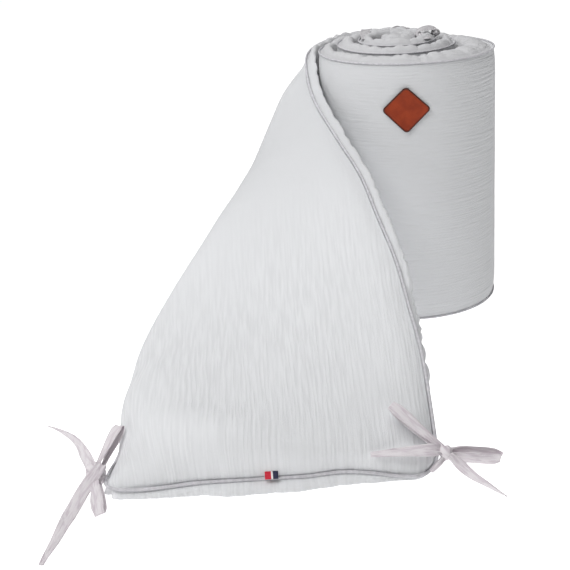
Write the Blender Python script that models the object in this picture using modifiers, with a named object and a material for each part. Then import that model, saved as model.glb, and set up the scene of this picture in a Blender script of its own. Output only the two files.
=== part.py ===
"""A rolled crib bumper: one padded strip with a piped seam, wound up and left with its loose end draped."""
import math

import bmesh
import bpy
import numpy as np
from mathutils import Matrix, Vector

# Driving dimensions in metres, angles in degrees.
strip_width = 0.300            # seam to seam, so the height of the standing roll
drape_length = 0.540           # the loose end, from the roll to the short seam
pressed_thickness = 0.0195     # wadding between two turns
loose_thickness = 0.027        # wadding that nothing presses on
turn_clearance = 0.002         # air between two turns
end_clearance = 0.004          # more air where a turn passes the piped inner end
roll_face_crown = 0.002        # how far the face stands proud of its seam, on the roll
drape_face_crown = 0.007       # the same on the loose end
seam_height = 0.0045           # the foot seam above the surface, where the strip stands
station_step = 0.020           # length of strip between two cross-sections
corner_radius = 0.014          # rounding of the strip's free corners
piping_radius = 0.0018
piping_out = 0.0023             # the piping's middle past the seam
piping_up = 0.0008              # and out from the face
piece_gap = 0.0003             # air between pieces that touch
pucker_length = 0.040          # one gather of the puffed edge
pucker_depth = 0.22            # its share of the puff
lean_length = 0.050            # over which the last turn leans out below its rim, half of it before it leaves
lean_rise = 0.011              # how far
lean_margin = 0.030            # strip beside the rim that leans no further
ease_length = 0.030            # length of cloth on each side over which the roll passes into the loose end
end_press = 0.25               # how much thinner the wadding is at the short seam, as a share
end_press_length = 0.050

# The roll, wound outwards: the angle runs anticlockwise seen from above, and 180 is where the loose end leaves.
roll_columns = ("angle", "rim_radius", "centre_x", "lift", "rim_height")
roll_rows = (
    (-1220, 0.0215, -0.012, 0.006, 0.306),
    (-900, 0.0390, -0.012, 0.006, 0.306),
    (-540, 0.0610, -0.013, 0.005, 0.305),
    (-360, 0.0720, -0.012, 0.004, 0.302),
    (-180, 0.0880, -0.006, 0.000, 0.299),
    (-90, 0.0970, -0.002, 0.000, 0.300),
    (0, 0.1040, -0.001, 0.000, 0.300),
    (90, 0.1000, -0.001, 0.000, 0.297),
    (180, 0.1110, -0.001, 0.000, 0.286),
)

# The loose end: the courses of the foot seam and of the head seam, where the cloth folds over between them,
# as a share of its width from the foot, and how much fuller than the seams the face is there.
drape_columns = ("along", "foot_x", "foot_y", "foot_z", "head_x", "head_y", "head_z", "fold", "fullness")
drape_rows = (
    (0.00, -0.1120, 0.0000, 0.0045, -0.1120, 0.0020, 0.2860, 0.95, 1.000),
    (0.03, -0.1220, -0.0270, 0.0045, -0.1107, -0.0255, 0.2710, 0.90, 0.985),
    (0.06, -0.1415, -0.0500, 0.0050, -0.1056, -0.0460, 0.2557, 0.70, 0.950),
    (0.12, -0.1906, -0.0890, 0.0060, -0.0861, -0.0936, 0.2244, 0.54, 0.960),
    (0.18, -0.2410, -0.1240, 0.0080, -0.0643, -0.1399, 0.1925, 0.42, 1.020),
    (0.24, -0.2867, -0.1570, 0.0090, -0.0514, -0.1899, 0.1612, 0.29, 1.065),
    (0.30, -0.3082, -0.2060, 0.0100, -0.0398, -0.2420, 0.1332, 0.17, 1.076),
    (0.36, -0.3139, -0.2640, 0.0100, -0.0339, -0.2955, 0.1061, 0.14, 1.073),
    (0.42, -0.3156, -0.3240, 0.0090, -0.0292, -0.3498, 0.0801, 0.12, 1.082),
    (0.48, -0.3150, -0.3890, 0.0105, -0.0270, -0.3970, 0.0418, 0.25, 1.030),
    (0.54, -0.3215, -0.4450, 0.0100, -0.0262, -0.4440, 0.0100, 0.50, 0.985),
)
fold_softness = 0.20           # half the length of the rounded fold, as a share of the strip's width

# The leather patch on the front of the roll.
patch_side = 0.0370
patch_thickness = 0.0015
patch_corner = 0.0045
patch_angle = -93.5            # where its middle lies round the roll
patch_height = 0.2500
patch_radius = 0.0990          # of the roll where it lies

# The striped tag in the short seam.
tag_size = (0.0116, 0.0090, 0.0010)
tag_place = 0.151              # from the foot end of the short seam
tag_tilt = 36
tag_offset = (-0.0004, -0.0036, 0.0042)   # its middle from the seam

# Ties are flat cotton ribbon. A bow is a knot with loops and tails: a loop runs from the knot to its far end and
# back, and opens by a vector to either side; a tail has the course of its middle line and the way its width
# points at its start and at its end.
ribbon_width = 0.0120
ribbon_thickness = 0.0012
ribbon_step = 0.008
ribbon_gather = 0.55           # its width inside the knot, as a share
loop_start = 0.0020            # half the distance between a loop's two ends in the knot
bows = {
    "tie_bow_left": {
        "knot": (-0.3322, -0.4230, 0.0140),
        "knot_size": (0.0070, 0.0070, 0.0075),
        "loops": (
            {"end": (-0.3222, -0.4780, 0.0070), "opens": (-0.0024, 0.000, 0.0036)},
            {"end": (-0.3107, -0.3830, 0.0400), "opens": (0.0034, -0.0012, -0.0008)},
        ),
        "tails": (
            {"course": ((-0.3322, -0.4250, 0.0160), (-0.3412, -0.4470, 0.0090), (-0.3482, -0.4760, 0.0036),
                        (-0.3557, -0.5070, 0.0026), (-0.3626, -0.5368, 0.0022)),
             "across": ((1.0, -0.3, 0.3), (1.0, -0.25, 0.1)), "tip": 0.35},
            {"course": ((-0.3332, -0.4210, 0.0140), (-0.3442, -0.3940, 0.0110), (-0.3592, -0.3560, 0.0090),
                        (-0.3782, -0.3220, 0.0080), (-0.3982, -0.2960, 0.0065)),
             "across": ((0.8, 0.1, 0.6), (0.4, 0.2, 1.0)), "tip": 0.12},
        ),
    },
    "tie_bow_right": {
        "knot": (-0.0186, -0.4372, 0.0224),
        "knot_size": (0.0066, 0.0066, 0.0078),
        "loops": (
            {"end": (0.0350, -0.4270, 0.0105), "opens": (-0.0005, 0.0046, -0.0008)},
            {"end": (-0.0640, -0.4130, 0.0600), "opens": (0.0000, -0.0018, 0.0030)},
        ),
        "tails": (
            {"course": ((-0.0160, -0.4390, 0.0210), (-0.0050, -0.4490, 0.0130), (0.0070, -0.4580, 0.0090),
                        (0.0180, -0.4690, 0.0075), (0.0290, -0.4800, 0.0065)),
             "across": ((0.55, 0.3, 0.78), (0.1, 0.7, 0.6)), "tip": 0.15},
            {"course": ((-0.0190, -0.4385, 0.0250), (-0.0320, -0.4440, 0.0300), (-0.0460, -0.4450, 0.0312),
                        (-0.0660, -0.4450, 0.0308), (-0.0860, -0.4440, 0.0302)),
             "across": ((0.1, 0.6, 0.75), (0.0, 0.7, 0.7)), "tip": 0.4},
        ),
    },
    "tie_bow_core": {
        "knot": (0.0362, 0.0020, 0.3172),
        "knot_size": (0.0055, 0.0055, 0.0045),
        "loops": (
            {"end": (0.0120, 0.0060, 0.3222), "opens": (0.001, 0.000, 0.0045)},
        ),
        "tails": (
            {"course": ((0.0360, 0.0000, 0.3160), (0.0335, -0.0120, 0.3148), (0.0310, -0.0220, 0.3142),
                        (0.0290, -0.0320, 0.3136)),
             "across": ((1.0, 0.2, 0.1), (1.0, 0.3, 0.0)), "tip": 0.8},
        ),
    },
    "tie_bow_back": {
        "knot": (0.0130, 0.1060, 0.2995),
        "knot_size": (0.0060, 0.0040, 0.0050),
        "loops": (),
        "tails": (
            {"course": ((0.0130, 0.1071, 0.3000), (0.0070, 0.1080, 0.3020), (0.0010, 0.1085, 0.3010)),
             "across": ((0.1, 0.3, 1.0), (0.0, 0.3, 1.0)), "tip": 0.6},
            {"course": ((0.0130, 0.1071, 0.2995), (0.0190, 0.1080, 0.2990), (0.0260, 0.1080, 0.2965)),
             "across": ((0.1, 0.3, 1.0), (0.2, 0.3, 1.0)), "tip": 0.5},
        ),
    },
    "tie_strap_back": {
        "knot": None,
        "knot_size": None,
        "loops": (),
        "tails": (
            {"course": ((-0.0410, -0.0150, 0.3145), (-0.0400, 0.0100, 0.3144), (-0.0375, 0.0450, 0.3130),
                        (-0.0340, 0.0750, 0.3092), (-0.0310, 0.0970, 0.3060), (-0.0300, 0.1055, 0.3015),
                        (-0.0300, 0.1070, 0.2900)),
             "across": ((1.0, 0.1, 0.0), (1.0, 0.1, 0.0)), "tip": 1.0},
        ),
    },
}

# Where the face is sampled across the strip, as distances from the foot seam.
cross_places = (0.0, 0.012, 0.035, 0.065, 0.095, 0.125, 0.155, 0.185, 0.215, 0.245, 0.270, 0.288, 0.300)

# The padded edge in section: how far it stands out past the seam and how deep below the face it lies.
edge_rows = (
    (0.0000, 0.000),
    (-0.0012, 0.0032),
    (0.0040, 0.0058),
    (0.0066, 0.0102),
    (0.0038, 0.0153),
    (-0.0070, 0.0175),
)


def column(rows, columns, name):
    """One named column of a table as an array."""
    return np.array([row[columns.index(name)] for row in rows], float)


def smooth_curve(places, knots, values):
    """A smooth curve through the values, which may be numbers or points, read at the places."""
    knots = np.asarray(knots, float)
    values = np.asarray(values, float)
    slopes = np.gradient(values, knots, axis=0)
    cell = np.clip(np.searchsorted(knots, places, side="right") - 1, 0, len(knots) - 2)
    span = knots[cell + 1] - knots[cell]
    share = (places - knots[cell]) / span
    if values.ndim > 1:
        span = span[:, None]
        share = share[:, None]
    start = values[cell] * (2 * share**3 - 3 * share**2 + 1) + slopes[cell] * span * (share**3 - 2 * share**2 + share)
    end = values[cell + 1] * (3 * share**2 - 2 * share**3) + slopes[cell + 1] * span * (share**3 - share**2)
    return start + end


def unit(vectors):
    """The vectors at length one."""
    return vectors / np.linalg.norm(vectors, axis=-1, keepdims=True)


def smooth_step(share):
    """0 before 0, 1 after 1, and a smooth rise between."""
    share = np.clip(share, 0.0, 1.0)
    return share * share * (3.0 - 2.0 * share)


def roll_plan(angles):
    """Outer seams along the wound turns: x and y in plan, the foot's height and the rim's."""
    turn_angle = column(roll_rows, roll_columns, "angle")
    radius, centre, lift, rim = (smooth_curve(angles, turn_angle, column(roll_rows, roll_columns, name))
                                 for name in roll_columns[1:])
    course = np.radians(angles)
    return np.stack([centre + radius * np.cos(course), radius * np.sin(course), seam_height + lift, rim], axis=-1)


def roll_angles():
    """Angles of the roll's cross-sections: even steps of cloth, and never more than a few degrees."""
    fine = np.arange(roll_rows[0][0], roll_rows[-1][0] + 1.0)
    plan = roll_plan(fine)[:, :2]
    radius = smooth_curve(fine, column(roll_rows, roll_columns, "angle"),
                          column(roll_rows, roll_columns, "rim_radius"))
    step = np.linalg.norm(np.diff(plan, axis=0), axis=1)
    longest = np.minimum(station_step, radius[1:] * math.radians(20))
    count = np.concatenate([[0.0], np.cumsum(step / longest)])
    places = np.linspace(0.0, count[-1], int(round(count[-1])) + 1)
    return np.interp(places, count, fine)


def drape_face(along, across):
    """The loose end's face: each cross-section runs from foot to head and folds over outwards on the way."""
    stations = column(drape_rows, drape_columns, "along")

    def course(end):
        knots = [column(drape_rows, drape_columns, end + "_" + axis) for axis in "xyz"]
        return np.stack([smooth_curve(along, stations, knot) for knot in knots], axis=-1)

    foot, head = course("foot"), course("head")
    chord = head - foot
    reach = np.linalg.norm(chord, axis=1)
    fullness = smooth_curve(along, stations, column(drape_rows, drape_columns, "fullness"))
    cloth = np.maximum(strip_width * fullness, reach * 1.0002)
    fold = smooth_curve(along, stations, column(drape_rows, drape_columns, "fold"))
    wall, sheet = cloth * fold, cloth * (1 - fold)
    run = (wall**2 - sheet**2 + reach**2) / (2 * reach)
    rise = np.sqrt(np.maximum(wall**2 - run**2, 0.0)) * smooth_step(along / lean_length + 0.5)
    onward = np.gradient(foot + head, axis=0)
    outward = unit(np.cross(onward, chord))
    corner = foot + unit(chord) * run[:, None] + outward * rise[:, None]

    fine = np.linspace(0.0, 1.0, 121)
    bend = smooth_step((fine - fold[:, None] + fold_softness) / (2 * fold_softness))[:, :, None]
    ways = unit(unit(corner - foot)[:, None] * (1 - bend) + unit(head - corner)[:, None] * bend)
    steps = 0.5 * (ways[:, 1:] + ways[:, :-1]) * (cloth[:, None, None] * fine[1])
    risen = np.concatenate([np.zeros((len(along), 1, 3)), np.cumsum(steps, axis=1)], axis=1)
    risen += (chord - risen[:, -1])[:, None, :] * fine[None, :, None]
    place = across / strip_width / fine[1]
    cell = np.clip(place.astype(int), 0, len(fine) - 2)
    share = (place - cell)[None, :, None]
    return foot[:, None, :] + risen[:, cell] * (1 - share) + risen[:, cell + 1] * share


def strip_face():
    """The seam-high face of the whole strip on a grid: wound turns first, then the loose end."""
    angles = roll_angles()
    plan = roll_plan(angles)
    across = np.array(cross_places)
    roll = np.zeros((len(angles), len(across), 3))
    roll[:, :, :2] = plan[:, None, :2]
    roll[:, :, 2] = plan[:, None, 2] + (plan[:, None, 3] - plan[:, None, 2]) * across[None, :] / strip_width
    # The last turn leans out below its rim before the loose end leaves it.
    before = np.cumsum(np.linalg.norm(np.diff(plan[::-1, :2], axis=0, prepend=plan[-1:, :2]), axis=1))[::-1]
    lean = lean_rise * smooth_step(0.5 - before / lean_length)
    share = np.minimum(across / (strip_width - lean_margin), (strip_width - across) / lean_margin)
    roll[:, :, :2] += unit(plan[:, :2])[:, None, :] * (lean[:, None] * share)[:, :, None]
    steps = int(round(drape_length / station_step))
    along = np.linspace(0.0, drape_length, steps + 1)[1:]
    drape = drape_face(along, across)
    face = np.concatenate([roll, drape])
    course = np.concatenate([[0.0], np.cumsum(np.linalg.norm(np.diff(face[:, 0], axis=0), axis=1))])
    # The way from the last turn into the loose end is eased.
    weight = np.exp(-((course - course[len(angles) - 1]) / ease_length)**2)[:, None, None]
    for _ in range(3):
        eased = face.copy()
        eased[1:-1] = 0.25 * face[:-2] + 0.5 * face[1:-1] + 0.25 * face[2:]
        face = face * (1 - weight) + eased * weight
    return angles, face, course


def thickness_along(angles, face):
    """Wadding at each cross-section: it swells until it meets the turn inside it."""
    radius = smooth_curve(angles, column(roll_rows, roll_columns, "angle"),
                          column(roll_rows, roll_columns, "rim_radius"))
    inner = np.clip(angles - 360.0, angles[0], None)
    gap = np.linalg.norm((roll_plan(angles) - roll_plan(inner))[:, :2], axis=1)
    swollen = np.clip(gap - turn_clearance, 0.75 * pressed_thickness, loose_thickness + 0.004)
    core = angles < angles[0] + 330.0
    swollen[core] = np.minimum(pressed_thickness, 0.8 * radius[core])
    swollen -= end_clearance * np.exp(-((angles - angles[0] - 350.0) / 30.0)**2)
    free = np.arange(1, len(face) - len(angles) + 1) / (len(face) - len(angles)) * drape_length
    loose = swollen[-1] + (loose_thickness - swollen[-1]) * smooth_step(free / 0.14)
    loose *= 1 - end_press * np.exp(-((drape_length - free) / end_press_length)**2)
    return np.concatenate([swollen, loose])


def new_material(name, colour, roughness):
    """A plain material of one colour."""
    material = bpy.data.materials.new(name)
    material.use_nodes = True
    shader = material.node_tree.nodes["Principled BSDF"]
    shader.inputs["Base Color"].default_value = (*colour, 1.0)
    shader.inputs["Roughness"].default_value = roughness
    shader.inputs["Metallic"].default_value = 0.0
    return material


def add_object(name, data, material):
    """An object in the part's collection, held by the part's empty."""
    thing = bpy.data.objects.new(name, data)
    data.materials.append(material)
    thing.parent = part_origin
    part_collection.objects.link(thing)
    return thing


def add_mesh(name, points, faces, material):
    """A mesh object made from points and faces."""
    mesh = bpy.data.meshes.new(name)
    mesh.from_pydata([tuple(map(float, point)) for point in points], [], faces)
    mesh.shade_smooth()
    return add_object(name, mesh, material)


def strip_axes(face):
    """Unit vectors along the strip, across it and out of its face, at every grid point."""
    along = unit(np.gradient(face, axis=0))
    across = unit(np.gradient(face, axis=1))
    outward = unit(np.cross(along, across))
    return along, across, outward


def seam_loop(face):
    """Grid places round the seam, with the direction that points out past the edge at each."""
    along, across, outward = strip_axes(face)
    last, top = face.shape[0] - 1, face.shape[1] - 1
    loop = [(row, 0) for row in range(last + 1)]
    loop += [(last, place) for place in range(1, top + 1)]
    loop += [(row, top) for row in range(last - 1, -1, -1)]
    loop += [(0, place) for place in range(top - 1, 0, -1)]
    past = []
    for row, place in loop:
        way = np.zeros(3)
        if row in (0, last):
            way += along[row, place] * (1 if row else -1)
        if place in (0, top):
            way += across[row, place] * (1 if place else -1)
        past.append(way / np.linalg.norm(way))
    return loop, np.array(past), np.array([outward[place] for place in loop])


def round_corners(face):
    """Pull the two free corners of the strip in, so that its outline is rounded there."""
    loop, past, _ = seam_loop(face)
    last, top = face.shape[0] - 1, face.shape[1] - 1
    for corner in ((last, 0), (last, top)):
        face[corner] -= past[loop.index(corner)] * corner_radius * (math.sqrt(2) - 1)
    return face


def build_pad(angles, face, course):
    """The padded strip: a face sheet, a back sheet and the puffed edge between them, as one closed body."""
    along, across, outward = strip_axes(face)
    rows, places = face.shape[:2]
    thickness = thickness_along(angles, face)
    crown = np.where(np.arange(rows) < len(angles), roll_face_crown, drape_face_crown)
    crown = np.convolve(np.pad(crown, 3, mode="edge"), np.ones(7) / 7, mode="valid")
    depth = thickness - crown
    from_end = course[-1] - course
    from_seam = np.minimum(np.array(cross_places), strip_width - np.array(cross_places))
    nearest = np.minimum(from_seam[None, :], from_end[:, None])
    swell = 1.0 - np.exp(-nearest / 0.008)
    front = face + outward * (crown[:, None] * swell)[:, :, None]
    back = face - outward * depth[:, None, None]

    loop, past, loop_outward = seam_loop(face)
    loop_rows = np.array([row for row, _ in loop])
    seam = np.array([face[place] for place in loop])
    gather = np.sin(2 * math.pi * course[loop_rows] / pucker_length + math.pi / 2)
    gather *= np.where(loop_rows < len(angles), pucker_depth, pucker_depth / 2)
    deep = depth[loop_rows] / edge_rows[-1][1]
    rings = []
    for out, down in edge_rows[1:]:
        puff = out * (1.0 + gather) if out > 0 else np.full(len(loop), out)
        rings.append(seam + past * puff[:, None] - loop_outward * (down * deep)[:, None])

    points = [front.reshape(-1, 3)]
    front_place = {(row, place): row * places + place for row in range(rows) for place in range(places)}
    start = rows * places
    ring_place = [[front_place[place] for place in loop]]
    for ring in rings:
        points.append(ring)
        ring_place.append(list(range(start, start + len(loop))))
        start += len(loop)
    back_place = {}
    inner_back = []
    for row in range(rows):
        for place in range(places):
            if (row, place) in loop:
                back_place[row, place] = ring_place[-1][loop.index((row, place))]
            else:
                back_place[row, place] = start + len(inner_back)
                inner_back.append(back[row, place])
    points.append(np.array(inner_back))
    points = np.concatenate(points)
    points[:, 2] = np.where(points[:, 2] < seam_height / 2, 0.0, points[:, 2])

    faces = []
    for row in range(rows - 1):
        for place in range(places - 1):
            corners = [(row, place), (row + 1, place), (row + 1, place + 1), (row, place + 1)]
            faces.append([front_place[corner] for corner in corners])
            faces.append([back_place[corner] for corner in reversed(corners)])
    for upper, lower in zip(ring_place, ring_place[1:]):
        for spot in range(len(loop)):
            ahead = (spot + 1) % len(loop)
            faces.append([upper[spot], lower[spot], lower[ahead], upper[ahead]])
    add_mesh("bumper_pad", points, faces, new_material("crinkled_gauze", (0.70, 0.70, 0.72), 0.92))


def build_piping(face):
    """The piping: one round cord of cloth that runs all the way round the seam."""
    loop, past, loop_outward = seam_loop(face)
    seam = np.array([face[place] for place in loop])
    middle = seam + past * piping_out + loop_outward * piping_up
    curve = bpy.data.curves.new("piping", "CURVE")
    curve.dimensions = "3D"
    curve.bevel_depth = piping_radius
    curve.bevel_resolution = 1
    spline = curve.splines.new("POLY")
    spline.points.add(len(middle) - 1)
    spline.use_cyclic_u = True
    for point, place in zip(spline.points, middle):
        point.co = (*place, 1.0)
    add_object("piping", curve, new_material("piping_cloth", (0.55, 0.55, 0.57), 0.85))


def build_patch():
    """The leather patch: a square with round corners, set on one corner and bent to the roll."""
    half = patch_side / 2
    outline = []
    for quarter in range(4):
        for step in range(5):
            turn = math.radians(90 * quarter + 90 * step / 4)
            corner = Vector((half - patch_corner, half - patch_corner))
            corner.rotate(Matrix.Rotation(math.radians(90 * quarter), 2))
            outline.append(corner + patch_corner * Vector((math.cos(turn), math.sin(turn))))
    outline = [Matrix.Rotation(math.radians(45), 2) @ place for place in outline]
    shares = (1.0, 0.8, 0.6, 0.4, 0.2)
    flat = [place * share for share in shares for place in outline] + [Vector((0.0, 0.0))]
    angles = patch_angle + np.degrees([place.x / patch_radius for place in flat])
    plan = roll_plan(angles)[:, :2]
    centre = smooth_curve(angles, column(roll_rows, roll_columns, "angle"),
                          column(roll_rows, roll_columns, "centre_x"))
    away = unit(plan - np.stack([centre, np.zeros(len(plan))], axis=-1))
    plan = plan + away * (roll_face_crown + 2 * piece_gap)
    points = [(x, y, patch_height + place.y) for (x, y), place in zip(plan, flat)]
    count = len(outline)
    faces = []
    for ring in range(len(shares) - 1):
        for spot in range(count):
            ahead = (spot + 1) % count
            outer, inner = ring * count, (ring + 1) * count
            faces.append([outer + spot, outer + ahead, inner + ahead, inner + spot])
    last = (len(shares) - 1) * count
    faces += [[last + spot, last + (spot + 1) % count, len(flat) - 1] for spot in range(count)]
    patch = add_mesh("leather_patch", points, faces, new_material("brown_leather", (0.23, 0.04, 0.012), 0.55))
    shell = patch.modifiers.new("thickness", "SOLIDIFY")
    shell.thickness = patch_thickness
    shell.offset = 1.0


def build_tag(face):
    """The woven tag: a small flat tape that comes out of the short seam and lies over the piping."""
    seam = [np.interp(tag_place, cross_places, face[-1, :, axis]) for axis in range(3)]
    edge = face[-1, -2] - face[-1, 1]
    mesh = bpy.data.meshes.new("seam_tag")
    block = bmesh.new()
    bmesh.ops.create_cube(block, size=1.0)
    bmesh.ops.scale(block, vec=tag_size, verts=block.verts)
    block.to_mesh(mesh)
    block.free()
    tag = add_object("seam_tag", mesh, new_material("woven_tape", (0.75, 0.72, 0.72), 0.8))
    tag.location = Vector(seam) + Vector(tag_offset)
    tag.rotation_euler = (math.radians(tag_tilt), 0.0, math.atan2(edge[1], edge[0]))


def ribbon_body(middle, across, half):
    """A flat ribbon round its middle line, as points and faces."""
    onward = unit(np.gradient(middle, axis=0))
    across = unit(across - onward * np.sum(across * onward, axis=1)[:, None])
    normal = np.cross(onward, across)
    points = []
    for side, face in ((-1, -1), (1, -1), (1, 1), (-1, 1)):
        points.append(middle + across * half[:, None] * side + normal * (ribbon_thickness / 2) * face)
    points = np.stack(points, axis=1).reshape(-1, 3)
    last = 4 * (len(middle) - 1)
    faces = [[3, 2, 1, 0], [last, last + 1, last + 2, last + 3]]
    for row in range(0, last, 4):
        for corner in range(4):
            ahead = (corner + 1) % 4
            faces.append([row + corner, row + ahead, row + 4 + ahead, row + 4 + corner])
    return points, faces


def tail_ribbon(tail, gathered):
    """A tail along its course: drawn together where it leaves a knot, and narrowed to its tip."""
    course = np.array(tail["course"])
    knots = np.concatenate([[0.0], np.cumsum(np.linalg.norm(np.diff(course, axis=0), axis=1))])
    count = max(4, int(round(knots[-1] / ribbon_step)))
    places = np.linspace(0.0, knots[-1], count + 1)
    share = places / knots[-1]
    start, end = np.array(tail["across"])
    across = start * (1 - share[:, None]) + end * share[:, None]
    half = 0.5 * ribbon_width * (1 - (1 - tail["tip"]) * np.clip((share - 0.45) / 0.55, 0, 1))
    if gathered:
        half = half * (ribbon_gather + (1 - ribbon_gather) * smooth_step(places / 0.016))
    return ribbon_body(smooth_curve(places, knots, course), across, half)


def loop_ribbon(loop, knot):
    """A loop in the shape of a drop, whose point lies in the knot."""
    reach = np.array(loop["end"]) - np.array(knot)
    opens = np.array(loop["opens"])
    count = int(round(2.2 * np.linalg.norm(reach) / ribbon_step))
    turn = np.linspace(0.3, 2 * math.pi - 0.3, count + 1)
    share = np.sin(turn / 2)**2
    side = np.sin(turn) * np.sin(turn / 2) / 0.77
    start = np.sign(math.pi - turn) * (1 - share) * loop_start / np.linalg.norm(opens)
    middle = np.array(knot) + share[:, None] * reach + (side + start)[:, None] * opens
    across = np.tile(np.cross(reach, opens), (count + 1, 1))
    half = 0.5 * ribbon_width * (ribbon_gather + (1 - ribbon_gather) * smooth_step(share / 0.35))
    return ribbon_body(middle, across, half)


def build_bow(name, bow):
    """One tie: its loops, its tails and its knot, joined into one body."""
    material = new_material(name + "_cotton", (0.76, 0.71, 0.73), 0.75)
    bodies = [loop_ribbon(loop, bow["knot"]) for loop in bow["loops"]]
    bodies += [tail_ribbon(tail, bow["knot"] is not None) for tail in bow["tails"]]
    first = None
    for number, body in enumerate(bodies):
        thing = add_mesh(name if first is None else f"{name}_{number}", *body, material)
        first = join_to(first, thing)
    if bow["knot"]:
        mesh = bpy.data.meshes.new(name + "_knot")
        ball = bmesh.new()
        bmesh.ops.create_uvsphere(ball, u_segments=12, v_segments=8, radius=1.0)
        bmesh.ops.scale(ball, vec=bow["knot_size"], verts=ball.verts)
        bmesh.ops.translate(ball, vec=bow["knot"], verts=ball.verts)
        ball.to_mesh(mesh)
        ball.free()
        join_to(first, add_object(name + "_knot", mesh, material))


def join_to(body, piece):
    """Unite a piece with the body, and take the piece itself out of the part."""
    if body is None:
        return piece
    union = body.modifiers.new(piece.name, "BOOLEAN")
    union.operation = "UNION"
    union.solver = "EXACT"
    union.object = piece
    part_collection.objects.unlink(piece)
    guide_collection.objects.link(piece)
    piece.hide_render = True
    piece.display_type = "WIRE"
    return body


def part_bounds():
    """Lowest and highest corners of the whole part."""
    graph = bpy.context.evaluated_depsgraph_get()
    corners = []
    for thing in part_collection.objects:
        if thing.type != "EMPTY":
            seen = thing.evaluated_get(graph)
            mesh = seen.to_mesh()
            corners += [seen.matrix_world @ vertex.co for vertex in mesh.vertices]
            seen.to_mesh_clear()
    corners = np.array(corners)
    return corners.min(axis=0), corners.max(axis=0)


for thing in list(bpy.data.objects):
    bpy.data.objects.remove(thing, do_unlink=True)
part_collection = bpy.data.collections.new("crib_bumper")
guide_collection = bpy.data.collections.new("crib_bumper_guides")
bpy.context.scene.collection.children.link(part_collection)
bpy.context.scene.collection.children.link(guide_collection)
part_origin = bpy.data.objects.new("part_origin", None)
part_collection.objects.link(part_origin)

turn_angles, strip_grid, strip_course = strip_face()
strip_grid = round_corners(strip_grid)
build_pad(turn_angles, strip_grid, strip_course)
build_piping(strip_grid)
build_patch()
build_tag(strip_grid)
for bow_name, bow_design in bows.items():
    build_bow(bow_name, bow_design)

# The roll's axis is the origin up to here; the finished part stands centred on its own origin.
lowest, highest = part_bounds()
part_origin.location = (-(lowest[0] + highest[0]) / 2, -(lowest[1] + highest[1]) / 2, 0.0)
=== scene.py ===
# Looks for the rolled crib bumper: a padded gauze strip wound up, its loose end draped, with cotton ties.
import math

import bpy
import numpy as np
from mathutils import Matrix


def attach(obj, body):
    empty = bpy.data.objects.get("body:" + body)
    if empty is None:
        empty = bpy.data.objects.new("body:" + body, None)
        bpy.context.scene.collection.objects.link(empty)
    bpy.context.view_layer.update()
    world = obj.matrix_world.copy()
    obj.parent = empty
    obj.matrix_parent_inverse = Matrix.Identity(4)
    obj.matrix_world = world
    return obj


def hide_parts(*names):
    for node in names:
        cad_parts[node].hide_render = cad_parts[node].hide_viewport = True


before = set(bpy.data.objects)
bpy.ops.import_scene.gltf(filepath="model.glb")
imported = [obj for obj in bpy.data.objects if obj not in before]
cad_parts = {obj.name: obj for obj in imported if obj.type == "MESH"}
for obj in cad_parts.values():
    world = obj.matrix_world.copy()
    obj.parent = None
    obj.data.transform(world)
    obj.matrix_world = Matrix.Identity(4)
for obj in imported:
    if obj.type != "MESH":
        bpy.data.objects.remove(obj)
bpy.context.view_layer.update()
scene = bpy.context.scene
rollAxis = np.array([0.146707, 0.213583, 0.0])  # the roll's axis on the floor; shapes are worked out from it


def column(table, name):
    # One named column of a table as an array.
    return np.array([row[table["columns"].index(name)] for row in table["rows"]], float)


def smoothCurve(places, knots, values):
    # Hermite curve through the values (numbers or points), its slopes taken from the neighbours.
    knots, values = np.asarray(knots, float), np.asarray(values, float)
    slopes = np.gradient(values, knots, axis=0)
    cell = np.clip(np.searchsorted(knots, places, side="right") - 1, 0, len(knots) - 2)
    span = knots[cell + 1] - knots[cell]
    share = (places - knots[cell]) / span
    if values.ndim > 1:
        span, share = span[:, None], share[:, None]
    square, cube = share**2, share**3
    start = values[cell] * (2 * cube - 3 * square + 1) + slopes[cell] * span * (cube - 2 * square + share)
    end = values[cell + 1] * (3 * square - 2 * cube) + slopes[cell + 1] * span * (cube - square)
    return start + end


def lengthAlong(points):
    # Summed distances from the first point to each one.
    return np.concatenate([[0.0], np.cumsum(np.linalg.norm(np.diff(points, axis=0), axis=1))])


def unit(vectors):
    # The vectors at length one.
    return vectors / np.maximum(np.linalg.norm(vectors, axis=-1, keepdims=True), 1e-12)


def smoothStep(share):
    # 0 before 0, 1 after 1, and 3s^2 - 2s^3 between.
    share = np.clip(share, 0.0, 1.0)
    return share * share * (3.0 - 2.0 * share)


def between(first, second, share):
    # first where share is 0, second where it is 1.
    return first + (second - first) * share


def ripple(places, wave, seed):
    # Soft irregular wave between about -1 and 1: five sines of unrelated length and phase, summed.
    dice = np.random.default_rng(seed)
    waves = wave * dice.uniform(0.6, 1.9, 5)
    phases = dice.uniform(0, 2 * math.pi, 5)
    return np.sin(2 * math.pi * places[..., None] / waves + phases).sum(axis=-1) / 2.6


def creases(places, gap, width, seed, length):
    # Grooves at uneven gaps: the deepest of depth * exp(-|place - crease| / width), from 0 to 1.
    dice = np.random.default_rng(seed)
    spots = np.cumsum(gap * dice.uniform(0.55, 1.45, int(length / gap * 1.3) + 4)) - 2 * gap
    depths = dice.uniform(0.25, 1.0, len(spots))
    widths = width * dice.uniform(0.6, 1.5, len(spots))
    flat = np.asarray(places).ravel()
    order = np.clip(np.searchsorted(spots, flat), 1, len(spots) - 1)
    value = np.zeros(len(flat))
    for near in (-2, -1, 0, 1):
        pick = np.clip(order + near, 0, len(spots) - 1)
        value = np.maximum(value, depths[pick] * np.exp(-np.abs(flat - spots[pick]) / widths[pick]))
    return value.reshape(np.shape(places))


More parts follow.
